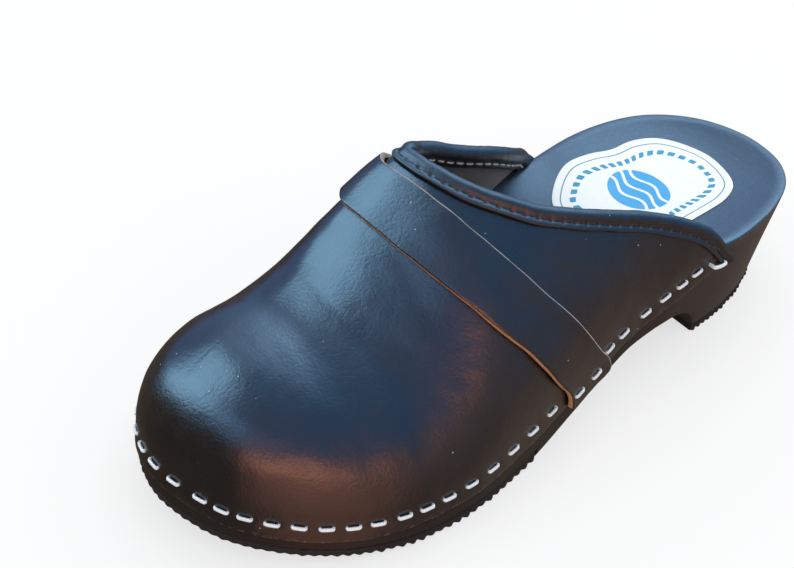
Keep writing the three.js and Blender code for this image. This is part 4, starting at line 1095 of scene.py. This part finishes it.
def collar_section():
    """Closed section of the binding as (out, over), and which part each point is in."""
    flange = [(1.60, -1.75), (1.60, -1.5), (1.58, -1.25), (1.55, -1.0), (1.51, -0.78),
              (1.47, -0.58), (1.44, -0.4), (1.42, -0.2), (1.41, 0.0), (1.40, 0.2),
              (1.40, 0.42)]
    outer = [(0.72, -2.32), (1.18, -2.30), (1.48, -2.18), (1.59, -1.98)] + flange
    roll = roll_arc(ROLL_RADIUS, -28, 208, 30)
    inner = [(2 * LEATHER_MIDDLE - out, over) for out, over in flange[::-1]]
    inner += [(-3.55, -2.05), (-3.25, -2.28), (-2.75, -2.32)]
    lining = [(-2.70, -1.2), (-2.55, 0.0)] + roll_arc(ROLL_RADIUS - BINDING_THICK, 222, -42, 15)
    lining += [(0.40, 0.0), (0.55, -1.2)]
    parts = outer, roll, inner, lining
    return np.array(sum(parts, [])), np.repeat(range(4), [len(part) for part in parts])


def make_collar():
    line = TOPLINE
    section, part = collar_section()
    is_outer, is_roll, is_inner, is_lining = (part == k for k in range(4))
    count = len(section)
    travel, scale = line.travel[:, None], line.scale[:, None]
    out0, over0 = section.T
    # the roll shrinks towards its ends
    shrink = np.where(is_roll | is_lining, 0.35 + 0.65 * scale, 0.55 + 0.45 * scale)
    out = LEATHER_MIDDLE + (out0 - LEATHER_MIDDLE) * shrink
    over = np.where(over0 > 0.5, 0.5 + (over0 - 0.5) * scale, over0)
    # seam groove with a hole at each stitch end, on both faces
    phase = (travel / STITCH_PITCH) % 1.0
    hole = np.exp(-(np.minimum(phase, 1 - phase) * STITCH_PITCH / 0.55) ** 2)
    groove = np.exp(-((over0 - SEAM_OVER) / 0.42) ** 2)
    wide_groove = np.exp(-((over0 - SEAM_OVER) / 1.1) ** 2)
    depth = (0.05 + 0.66 * hole) * groove + 0.13 * wide_groove
    out = out - np.where(is_outer, depth, 0) + np.where(is_inner, depth * 0.8, 0)

    def sweep():
        return (line.points[:, None] + line.out[:, None] * out[..., None]
                + line.over[:, None] * over[..., None])

    # puckers over the roll in step with the stitches, and loose unevenness
    points = sweep()
    from_roll = section - np.array([LEATHER_MIDDLE, ROLL_RISE])
    radial = from_roll / (np.hypot(*from_roll.T) + 1e-6)[:, None]
    low = np.exp(-np.maximum(over0 - 0.4, 0) / 1.6)
    pucker = -0.10 * hole * low + 0.07 * wobble(points, 7.5, 21) + 0.12 * wobble(points, 21, 22)
    pucker = pucker * np.where(is_roll, 1.0, np.where(is_lining, 0, 0.35))
    direction = np.where(is_roll[:, None], radial,
                         np.where(is_outer[:, None], [1.0, 0.0], [-1.0, 0.0]))
    out = out + pucker * direction[:, 0]
    over = over + pucker * direction[:, 1]
    # wavy free edges of the flanges
    at_edge = np.exp(-np.maximum(over0 + 2.32, 0) / 0.6)
    wave = 0.14 * at_edge * np.sin(travel / 3.1 + 0.6 * np.sin(travel / 11.0))
    over = over + np.where(is_outer | is_inner, wave, 0)
    rings = sweep()

    def run_to_ledge(at, sign, shares):
        """Rings that run straight on from ring `at` and end level on the ledge."""
        base, ahead = rings[at], line.ahead[at] * sign
        reach = np.zeros(count)
        for _ in range(5):
            end = base + ahead * reach[:, None]
            ledge = edge_z(CENTRE_ALONG - end[:, 1]) + 0.12
            reach = reach + (ledge - end[:, 2]) / ahead[2]
        return [base + ahead * (reach * share)[:, None] for share in shares]

    end_rings = 14
    first = int(round(9.0 / TOPLINE_STEP))
    last = len(line.travel) - 1 - first
    head = run_to_ledge(first, -1, 1 - np.arange(end_rings) / end_rings)
    tail = run_to_ledge(last, 1, np.arange(1, end_rings + 1) / end_rings)
    rings = np.concatenate([head, rings[first:last + 1], tail])
    faces = grid_faces(len(rings), count, wrap=True).tolist()
    # flat ends between the outside and the inside contour
    outside = np.flatnonzero(~is_lining)
    lining = np.flatnonzero(is_lining)[::-1]
    for ring in (0, len(rings) - 1):
        faces += strip(outside, lining, ring * count)
    add_piece("Collar_binding", rings.reshape(-1, 3), faces, [BINDING],
              "collar_binding", weld=0.01, sharp=60)


def make_stitches(name, material, out, wide, high, dip, facing, node):
    """One rod per stitch, its ends dipping into the leather. out is the height off the
    leather's face, wide and high the thread's radii, facing 1 outside and -1 inside."""
    line = TOPLINE
    end_gap, segments, closing = 12, 8, 0.35
    all_verts, all_faces, base = [], [], 0
    rng = np.random.default_rng(3)
    run = np.linspace(-1, 1, 11)
    # the rod is drawn in over the last part of its length
    tail = (np.abs(np.linspace(0, 1, 11) - 0.5) * 2 - (1 - closing)).clip(0) / closing
    size = np.sqrt(np.clip(1 - tail ** 2, 0.02, 1))[:, None]
    cos, sin = circle(segments)
    for k in range(math.ceil(end_gap / STITCH_PITCH),
                   math.floor((line.travel[-1] - end_gap) / STITCH_PITCH)):
        travel = (k + 0.5) * STITCH_PITCH + run * STITCH_LENGTH / 2
        point, normal, over = (
            np.stack([np.interp(travel, line.travel, v[:, i]) for i in range(3)], -1)
            for v in (line.points, line.out, line.over))
        normal, over = unit(normal), unit(over)
        scale = np.interp(travel, line.travel, line.scale)
        height = LEATHER_MIDDLE + (out - LEATHER_MIDDLE) * (0.55 + 0.45 * scale)
        height = height - facing * dip * (np.abs(run) ** 3)
        slant = 0.10 * run + rng.uniform(-0.05, 0.05)
        path = point + normal * height[:, None] + over * (SEAM_OVER + slant)[:, None]
        verts, faces = rod(path, over, normal, wide * cos * size, high * sin * size)
        all_verts.append(verts)
        all_faces += [[i + base for i in face] for face in faces]
        base += len(verts)
    add_piece(name, np.vstack(all_verts), all_faces, [material], node)


def make_padding():
    """The foam cord in the roll, ending a little short of both ends of the collar."""
    end_gap, radius = 10.5, 1.45
    travel = TOPLINE.travel
    keep = (travel > end_gap) & (travel < travel[-1] - end_gap)
    travel, points, _, out, over, scale = (v[keep] for v in TOPLINE)
    rise = 0.5 + (ROLL_RISE - 0.5) * scale
    path = points + out * LEATHER_MIDDLE + over * rise[:, None]
    size = radius * (scale * (1 + 0.03 * np.sin(travel / 6.0)))[:, None]
    cos, sin = circle(12)
    verts, faces = rod(path, out, over, cos * size, sin * size)
    add_piece("Collar_foam", verts, faces, [FOAM], "collar_padding")


make_collar()
make_stitches("Seam_needle_thread", BLACK_THREAD, out=1.12, wide=0.28, high=0.20, dip=0.55,
              facing=1, node="binding_needle_thread")
make_stitches("Seam_bobbin_thread", CREAM_THREAD, out=-3.42, wide=0.38, high=0.32, dip=0.50,
              facing=-1, node="binding_bobbin_thread")
make_padding()


# ------------------------------------------------------------------ instep strap
def strap_point(across, share):
    """Point and normal; share runs from 0 at the strap's front edge to 1 at its rear."""
    way_in = share_in(fold(across)[1])
    alongs = (strap_front[side](way_in)
              + (strap_rear[side](way_in) - strap_front[side](way_in)) * share
              for side in EDGES)
    at = walk_between(across, *alongs)
    return upper_point(*at), upper_normal(*at)


def make_strap():
    across = np.clip(1 - np.cos(np.linspace(0, np.pi, 3001)), 0, 2)
    rough_travel = lengths(strap_point(across, np.full_like(across, 0.5))[0])
    total = rough_travel[-1]
    travel = np.linspace(0, total, int(total / 0.9) + 1)
    across = np.interp(travel, rough_travel, across)
    width = norm(strap_point(across, np.zeros_like(across))[0]
                 - strap_point(across, np.ones_like(across))[0], axis=1)
    # section: share of the width and height, over the top and back underneath
    rounding = np.array([0, 0.14, 0.5, 1.1]) / 20
    top_share = np.r_[rounding, np.linspace(0.1, 0.9, 15), 1 - rounding[::-1]]
    top_height = np.r_[1.72, 2.12, 2.34, 2.38, np.full(15, 2.40), 2.38, 2.34, 2.12, 1.72]
    low_share = np.r_[1.0, 0.985, np.linspace(0.9, 0.1, 9), 0.015, 0.0]
    low_height = np.r_[0.55, 0.30, np.full(9, 0.22), 0.30, 0.55]
    top_count = len(top_share)
    count = top_count + len(low_share)

    def corner(radius):
        """Cut of a rounded corner at both ends of the strap."""
        return sum(np.where(gap < radius, radius - np.sqrt(
            np.maximum(radius ** 2 - (radius - gap) ** 2, 0)), 0)
            for gap in (travel, total - travel))

    # rounded corners and a slightly uneven knife cut
    front = (corner(0.9) / width
             + (0.10 * np.sin(travel / 4.3) + 0.08 * np.sin(travel / 1.9 + 1.3)) / width * 0.6)
    rear = (1 - corner(2.6) / width
            + (0.10 * np.sin(travel / 5.1 + 2.0) + 0.07 * np.sin(travel / 2.2)) / width * 0.6)
    share = front[:, None] + (rear - front)[:, None] * np.r_[top_share, low_share]
    point, normal = strap_point(across[:, None] * np.ones((1, count)), share)
    # it rides a little proud near its free edges and lies down at the staples
    free = (ease(travel, 3, 26) * ease(total - travel, 3, 26))[:, None]
    run = travel[:, None]
    lift = 0.16 * wobble(point, 22, 41) + 0.10 * np.sin(run / 9.0) * free
    lift = lift + (0.35 * ((share - 0.5) * 2) ** 4 * free
                   * (0.6 + 0.4 * np.sin(run / 13.0 + 1.0)))
    # the rear corner at the outer end curls up
    curl = np.exp(-(run / 5.0) ** 2) * np.clip((share - 0.6) / 0.4, 0, 1) ** 2
    height = np.r_[top_height, low_height] + lift + 0.9 * curl + 0.15
    surface = 2.4       # height of the strap's face above the upper
    staples = [s._replace(point=s.point + s.out * surface)
               for s in STAPLES if "strap" in s.name]
    pressed = dent(point + normal * surface, staples, depth=0.5, reach_across=0.9,
                   reach_up=0.95, pucker=0.25)
    height = height + np.where(np.arange(count) < top_count, pressed, 0)
    verts = (point + normal * height[..., None]).reshape(-1, 3)
    faces = grid_faces(len(travel), count, wrap=True).tolist()
    column = np.arange(count)
    is_front = np.isin(column, (0, count - 2, count - 1))
    # the rear cut edge takes the pale material, a painted highlight along that edge
    is_rear = (column >= top_count - 3) & (column <= top_count)
    index = np.tile(np.where(is_front, 1, np.where(is_rear, 2, 0)), len(travel) - 1).tolist()
    caps = []
    for ring in (0, len(travel) - 1):
        caps += strip(column[:top_count], column[top_count:][::-1], ring * count)
    lip = np.zeros(count)
    lip[[0, top_count - 1]] = 0.25
    lip[[1, top_count - 2]] = 0.9
    add_piece("Instep_strap", verts, faces + caps, [STRAP_GRAIN, CUT_STRAP, CUT_PAINTED_HIGHLIGHT],
              "instep_strap", {"lip": np.tile(lip, len(travel))},
              index + [1] * len(caps), weld=0.01, sharp=42)


make_strap()


# ------------------------------------------------------------------ staples
def staple_line(half, top, foot, bow, radius=0.55):
    """Centre line of a staple; columns are across, out and the wire's normal in both."""
    leg = [(-half, y, -1.0, 0.0) for y in np.linspace(foot, top - radius, 6)]
    for angle in np.linspace(0, np.pi / 2, 6)[1:]:
        cos, sin = math.cos(angle), math.sin(angle)
        leg.append((-half + radius - radius * cos, top - radius + radius * sin, -cos, sin))
    crown = [((half - radius) * q, top + bow * (1 - q * q), 0.0, 1.0)
             for q in np.linspace(-1, 1, 9)[1:-1]]
    return np.vstack([leg, crown, np.array(leg)[::-1] * (-1, 1, -1, 1)])


def make_staples():
    rng = np.random.default_rng(12)
    cos, sin = circle(12)
    # flattened round wire
    wide, high = (np.sign(v) * np.abs(v) ** 0.72 for v in (cos, sin))
    for staple in STAPLES:
        if staple.name == "staple_collar_outer":
            proud, bow, half_wide, half_high = 0.7, 0.25, 0.66, 0.52
        else:
            proud, bow, half_wide, half_high = 0.28 if staple.lift else 0.22, 0.04, 0.58, 0.45
        line = staple_line(staple.crown / 2 - 0.55, staple.lift + proud,
                           staple.lift + 0.3 - staple.leg, bow)
        # every staple sits a little askew; the one at the collar is not turned
        yaw, tilt = rng.uniform(-0.07, 0.07), rng.uniform(-0.06, 0.06)
        if staple.name == "staple_collar_outer":
            yaw = 0.0
        across = staple.across * math.cos(yaw) + staple.up * math.sin(yaw)
        up = staple.up * math.cos(yaw) - staple.across * math.sin(yaw)
        out = unit(staple.out + across * tilt)
        middle = (staple.point + up * rng.uniform(-0.15, 0.15)
                  + across * rng.uniform(-0.15, 0.15))
        path = middle + across * line[:, :1] + out * line[:, 1:2]
        normal = across * line[:, 2:3] + out * line[:, 3:4]
        verts, faces = rod(path, up[None], normal, wide * half_wide, high * half_high)
        add_piece("Wire_" + staple.name, verts, faces, [STEEL], staple.name,
                  sharp=50)


make_staples()

# ------------------------------------------------------------------ rubber treads
TREAD_DEPTH = 0.75      # how far a tooth stands out
RIB_DEPTH = 0.55
# Edge of a tread: depth in, height, share of the tooth, share of the rib
TREAD_EDGE = [
    (0.45, 0.10, 0.97, 0.75), (0.12, 0.40, 1.0, 0.35), (0.0, 0.9, 1.0, 0), (0.0, 1.6, 0.9, 0),
    (0.05, 2.2, 0.62, 0), (0.12, 2.65, 0.35, 0), (0.30, 2.92, 0.2, 0),
    (0.8, TREAD_THICK, 0.1, 0)]


def make_tread(name, node, is_fore, inset, pitch):
    """Tread with ribs across it that end in soft teeth along the edge."""
    steps_per_rib = 8
    if is_fore:         # from the rear end to the tip
        spans = {side: (float(edge.walk_at(TREAD_BACK + 0.4)), 0.0)
                 for side, edge in EDGES.items()}
    else:               # from the front end to the heel
        spans = {side: (float(edge.walk_at(HEEL_FRONT + 0.3)), edge.total)
                 for side, edge in EDGES.items()}
    ribs = round(sum(abs(end - start) for start, end in spans.values()) / 2 / pitch)
    phase = np.arange(ribs * steps_per_rib + 1) / steps_per_rib
    share = np.linspace(0, 1, len(phase))
    walks = {side: start + (end - start) * share for side, (start, end) in spans.items()}
    middle = middle_line(walks)
    sizes = np.random.default_rng(77).uniform(0.45, 1.25, 2 * ribs + 4)
    tooth_shape = (0.5 - 0.5 * np.cos(2 * np.pi * phase)) ** 0.8
    rib = RIB_DEPTH * (0.5 + 0.5 * np.cos(2 * np.pi * phase))
    tooth_index = np.round(phase - 0.5).astype(int) % ribs

    def half(side):
        edge, edge_x = EDGES[side].at(walks[side])
        normal = outline_normal(side, walks[side])
        size = sizes[tooth_index + (ribs if side == INNER else 0)]
        if is_fore:     # smaller teeth round the toe
            size = size * (1 - 0.55 * ease(edge, 222, 244))
        tooth = TREAD_DEPTH * tooth_shape * size

        def inward(depth, tooth_share):
            depth = inset + depth - tooth * tooth_share
            return edge - normal[:, 0] * depth, edge_x - normal[:, 1] * depth

        def row(plan, height):
            bottom = ground_z(plan[0]) if is_fore else 0.0
            return place(*plan, bottom + height)

        def towards_middle(start, share):
            return tuple(a + (b - a) * share for a, b in zip(start, middle))

        # underside from the middle out, with grooves between the ribs
        start = inward(0.8, 0.9)
        rows = [row(towards_middle(start, v), rib * (1 - ease(v, 0.72, 0.98)))
                for v in (1.0, 0.85, 0.7, 0.55, 0.4, 0.28, 0.17, 0.08, 0.0)]
        rows += [row(inward(depth, tooth_share), height + rib * rib_share)
                 for depth, height, tooth_share, rib_share in TREAD_EDGE]
        start = inward(0.8, 0.1)
        rows += [row(towards_middle(start, v), TREAD_THICK) for v in (0.2, 0.6, 1.0)]
        return np.stack(rows)

    outer, inner = half(OUTER), half(INNER)
    shared = (outer[:, -1:] + inner[:, -1:]) / 2
    ring = np.concatenate([outer[:, :-1], shared, inner[:, :-1][:, ::-1]], 1)
    rows, columns = ring.shape[:2]
    faces = grid_faces(rows, columns).tolist()
    # flat end across the foot
    for r in range(rows - 1):
        here, there = r * columns, (r + 1) * columns
        faces.append([here, there, there + columns - 1, here + columns - 1])
    add_piece(name, ring.reshape(-1, 3), faces, [RUBBER], node, weld=0.01,
              sharp=45)


make_tread("Tread_forefoot", "forefoot_tread", is_fore=True, inset=0.95, pitch=3.4)
make_tread("Tread_heel", "heel_tread", is_fore=False, inset=5.35, pitch=3.2)


# ------------------------------------------------------------------ heel label
def edge_distance(points, outline):
    distance = np.full(len(points), 1e9)
    for a, b in zip(outline, np.roll(outline, -1, 0)):
        run = b - a
        share = np.clip(((points - a) @ run) / (run @ run), 0, 1)
        distance = np.minimum(distance, norm(points - a - share[:, None] * run, axis=1))
    return distance


def label_motif(points):
    """Mask of a round disc crossed by three wavy bands; points are from the centre."""
    long_axis = unit(np.array([0.05, 1.0]))
    x = points @ np.array([long_axis[1], -long_axis[0]])
    y = points @ long_axis
    soft = 0.9          # width over which the print fades
    ink = 0.5 + (11.5 - np.hypot(x + 1.5, y + 2.5)) / soft
    for k in (-1, 0, 1):
        off_band = np.abs(y + 2.5 - 5.2 * k - 1.5 * np.sin((x + 2) * 0.42 + k)) - 0.65
        ink = np.minimum(ink, 0.5 + off_band / soft)
    return np.clip(ink, 0, 1)


def label_dashes(distance, outline, rings):
    """Mask of a row of short dashes that follows the edge."""
    depth, pitch, half_width = 7.4, 5.2, 1.15
    steps = norm(np.roll(outline, -1, 0) - outline, axis=1)
    total = steps.sum()
    travel = np.tile(np.r_[0, np.cumsum(steps)][:-1], rings)
    phase = (travel / total * round(total / pitch)) % 1.0
    in_row = 0.5 + (half_width - np.abs(distance - depth)) / 0.6
    is_on = 0.5 + (0.30 - np.abs(phase - 0.5)) * pitch / 0.9
    return np.clip(np.minimum(in_row, is_on), 0, 1)


def make_label():
    thick, gap, edge_drop = 0.32, FIT * 0.35, 0.10
    outline = closed_spline([[x - CENTRE_X, CENTRE_ALONG - along] for along, x in HEEL_LABEL],
                            per=12)
    centre = outline.mean(0)
    rings, around = 65, len(outline)
    flat = centre + (outline - centre) * np.linspace(0, 1, rings)[:, None, None]
    flat = flat.reshape(-1, 2)
    bottom = np.array([top_of_sole(x, y) for x, y in flat]) + gap
    distance = edge_distance(flat, outline)
    ink = label_motif(flat - centre)
    dash = label_dashes(distance, outline, rings)
    top = bottom + thick - np.where(distance < 0.25, edge_drop, 0.0)
    verts = np.vstack([np.c_[flat, top], np.c_[flat, bottom]])
    count = len(flat)
    quads = grid_faces(rings, around, wrap=True)
    faces = quads.tolist() + (quads[:, ::-1] + count).tolist()
    for i in range(around):
        a, b = count - around + i, count - around + (i + 1) % around
        faces.append([a, a + count, b + count, b])
    masks = {"edge": np.r_[distance, distance], "ink": np.r_[ink, ink * 0],
             "dash": np.r_[dash, dash * 0]}
    add_piece("Heel_label", verts, faces, [LABEL], "heel_label", masks,
              weld=0.004, sharp=40)


make_label()


# ------------------------------------------------------------------ camera and floor
# From here on lengths are in metres
def make_camera():
    data = bpy.data.cameras.new("camera")
    camera = link_object("camera", data)
    right = Vector((0.6364152896, 0.7680221710, 0.0715368714))
    up = Vector((-0.5392386030, 0.3766778216, 0.7532168000))
    back = Vector((0.5515408490, -0.5179341305, 0.6538707275))
    matrix = Matrix((right, up, back)).transposed().to_4x4()
    matrix.translation = Vector((0.24349675, -0.27429375, 0.34714019))
    camera.matrix_world = matrix
    data.sensor_width, data.lens = 36.0, 65.474
    data.clip_start, data.clip_end = 0.01, 20
    bpy.context.scene.camera = camera


PALE = (0.97, 0.97, 0.97)       # backdrop as the camera sees it


def floor_material():
    m = Surface("floor_pale")
    colour = m.mix(m.noise(m.pos(), scale=0.01), (0.93, 0.93, 0.93), (0.95, 0.95, 0.95))
    m.finish(Base_Color=colour, Roughness=0.9, Specular_IOR_Level=0.1)
    # seen directly, the floor is mostly evenly bright and keeps only a faint shadow
    seen = m.node("LightPath").outputs["Is Camera Ray"]
    glow = m.node("Emission", {0: PALE}).outputs[0]
    mixed = m.mix_shader(m.times(seen, 0.70), m.shader.outputs[0], glow)
    m.put(m.output.inputs["Surface"], mixed)
    return m.material


def make_floor():
    mesh = bpy.data.meshes.new("floor")
    half = 6.0
    z = float(CAD_BOX[0].z) - 0.0002
    corners = [(-half, -half, z), (half, -half, z), (half, half, z), (-half, half, z)]
    mesh.from_pydata(corners, [], [(0, 1, 2, 3)])
    mesh.materials.append(floor_material())
    floor = link_object("floor", mesh)
    floor.visible_glossy = False


# ------------------------------------------------------------------ surroundings and light
# The surroundings as glossy surfaces see them: a dark room with a cool window on the toe
# side, cool light from above and a warm low wall on the outer side. Compass directions
# are in degrees, 0 towards the toe and 90 towards the outer side.
GLOSS_STRENGTH = 1 / 0.078
HORIZON_LOW, HORIZON_HIGH = -6.0, 34.0      # degrees of elevation
SKY_BASE = (0.018, 0.031, 0.064)
SKY_REAR = (0.005, 0.028, 0.064)
SKY_WINDOW = (0.140, 0.275, 0.385)
SKY_SHELF = (0.056, 0.118, 0.185)
LOW_BASE = (0.010, 0.007, 0.0045)
LOW_WARM = (0.078, 0.032, 0.022)
LOW_STRIP = (0.330, 0.125, 0.075)
# Soft spots: compass direction, elevation, tightness, colour
SKY_SPOTS = [(-150, 42, 7.0, (0.050, 0.090, 0.135)), (-166, 46, 24.0, (0.130, 0.225, 0.320))]
LOW_SPOTS = [(146, -26, 7.0, (0.020, 0.015, 0.013)), (116, 22, 12.0, (0.022, 0.020, 0.026))]


class Surroundings(Nodes):
    """Patterns over the directions of the world."""

    def __init__(self, tree):
        super().__init__(tree)
        source = self.node("TexCoord").outputs["Generated"]
        self.direction = self.node("VectorMath", {0: source},
                                   operation="NORMALIZE").outputs[0]
        x, y, self.z = self.node("SeparateXYZ", {0: self.direction}).outputs
        self.elevation = self.times(self.math("ARCSINE", self.z), 180 / math.pi)
        flat = self.math("SQRT", self.plus(self.times(x, x), self.times(y, y)))
        flat = self.math("MAXIMUM", flat, 1e-4)
        self.outward = self.math("DIVIDE", x, flat)
        self.toeward = self.math("DIVIDE", self.times(y, -1.0), flat)

    def facing(self, compass, start, end):
        """Smooth step on the cosine of the angle from a compass direction."""
        angle = math.radians(compass)
        cosine = self.plus(self.times(self.outward, math.sin(angle)),
                           self.times(self.toeward, math.cos(angle)))
        return self.ramp(cosine, start, end)

    def scaled(self, colour, amount):
        return self.node("VectorMath", {0: colour, "Scale": amount},
                         operation="SCALE").outputs[0]

    def add(self, a, b):
        return self.node("VectorMath", {0: a, 1: b}, operation="ADD").outputs[0]

    def bell(self, offset, width):
        off = self.math("DIVIDE", offset, width)
        return self.math("EXPONENT", self.times(self.times(off, off), -1.0))

    def add_spots(self, colour, spots):
        for compass, elevation, tight, spot_colour in spots:
            turn, lift = math.radians(compass), math.radians(elevation)
            centre = (math.sin(turn) * math.cos(lift), -math.cos(turn) * math.cos(lift),
                      math.sin(lift))
            cosine = self.node("VectorMath", {0: self.direction, 1: centre},
                               operation="DOT_PRODUCT").outputs["Value"]
            spot = self.math("EXPONENT", self.math("MULTIPLY_ADD", cosine, tight, -tight))
            colour = self.add(colour, self.scaled(spot_colour, spot))
        return colour

    def background(self, colour, strength=1.0):
        return self.node("Background", {1: strength, 0: colour}).outputs[0]


def above_horizon(w):
    """1 above the uneven horizon of the room, 0 below it."""
    horizon = w.mix_value(w.facing(44, -0.75, 0.72), HORIZON_LOW, HORIZON_HIGH)
    horizon = w.minus(horizon, w.times(w.facing(164, 0.78, 0.97), 42.0))
    floor = w.mix_value(w.facing(110, 0.2, 0.6), HORIZON_LOW, -5.0)
    horizon = w.math("MAXIMUM", horizon, floor)
    return w.ramp(w.minus(w.elevation, horizon), -2.0, 2.0)


def sky_colour(w):
    sky = w.mix(w.facing(150, 0.6, 0.95), SKY_BASE, SKY_REAR)
    # the window is wider and further round above 46 to 56 degrees
    high = w.ramp(w.elevation, 46.0, 56.0)
    window = w.times(w.facing(-38, 0.80, 0.96), w.minus(1.0, high))
    upper = w.times(w.times(w.facing(-50, 0.58, 0.95), high),
                    w.minus(1.0, w.ramp(w.elevation, 78.0, 90.0)))
    sky = w.add(sky, w.scaled(SKY_WINDOW, w.plus(window, upper)))
    shelf = w.times(w.facing(6, 0.52, 1.0), w.bell(w.minus(w.elevation, 49.0), width=6.5))
    sky = w.add(sky, w.scaled(SKY_SHELF, shelf))
    return w.add_spots(sky, SKY_SPOTS)


def low_colour(w):
    low = w.scaled(LOW_BASE, 1.0)
    # the warm wall halves in brightness down to 40 degrees below level
    depth = w.ramp(w.times(w.elevation, -1.0), 0.0, 40.0)
    wall = w.times(w.facing(68, 0.81, 0.995), w.minus(1.0, w.times(depth, 0.5)))
    low = w.add(low, w.scaled(LOW_WARM, wall))
    # the strip climbs towards the heel
    middle = w.math("MULTIPLY_ADD", w.facing(90, 0.6, 0.95), 4.0, 19.0)
    strip_light = w.times(w.facing(65, 0.85, 0.985),
                          w.bell(w.minus(w.elevation, middle), width=4.6))
    low = w.add(low, w.scaled(LOW_STRIP, strip_light))
    return w.add_spots(low, LOW_SPOTS)


def make_world():
    world = bpy.data.worlds.new("studio")
    bpy.context.scene.world = world
    world.use_nodes = True
    w = Surroundings(world.node_tree)
    room = w.background(w.mix(above_horizon(w), low_colour(w), sky_colour(w)), GLOSS_STRENGTH)
    # soft light for matte surfaces, a little stronger from above
    soft = w.background(w.add(w.scaled((0.80, 0.82, 0.85), 1.0),
                              w.scaled((0.28, 0.28, 0.28), w.ramp(w.z, 0.0, 0.9))))
    path = w.node("LightPath").outputs
    lit = w.mix_shader(path["Is Glossy Ray"], soft, room)
    seen = w.mix_shader(path["Is Camera Ray"], lit, w.background(PALE))
    w.node("OutputWorld", {"Surface": seen})


def make_key_light():
    data = bpy.data.lights.new("key_soft", "AREA")
    data.shape, data.size, data.size_y = "RECTANGLE", 1.2, 1.2
    data.energy, data.color = 5, (1.0, 0.98, 0.96)
    key = link_object("key_soft", data)
    key.location = (-0.5, 0.7, 1.7)
    key.rotation_mode = "QUATERNION"
    # aimed at the origin
    key.rotation_quaternion = (-Vector((-0.5, 0.7, 1.7))).to_track_quat("-Z", "Y")
    key.visible_glossy = False


make_camera()
make_floor()
make_world()
make_key_light()
view = bpy.context.scene.view_settings
view.view_transform = "Standard"
view.look = "None"
view.exposure = 0.0
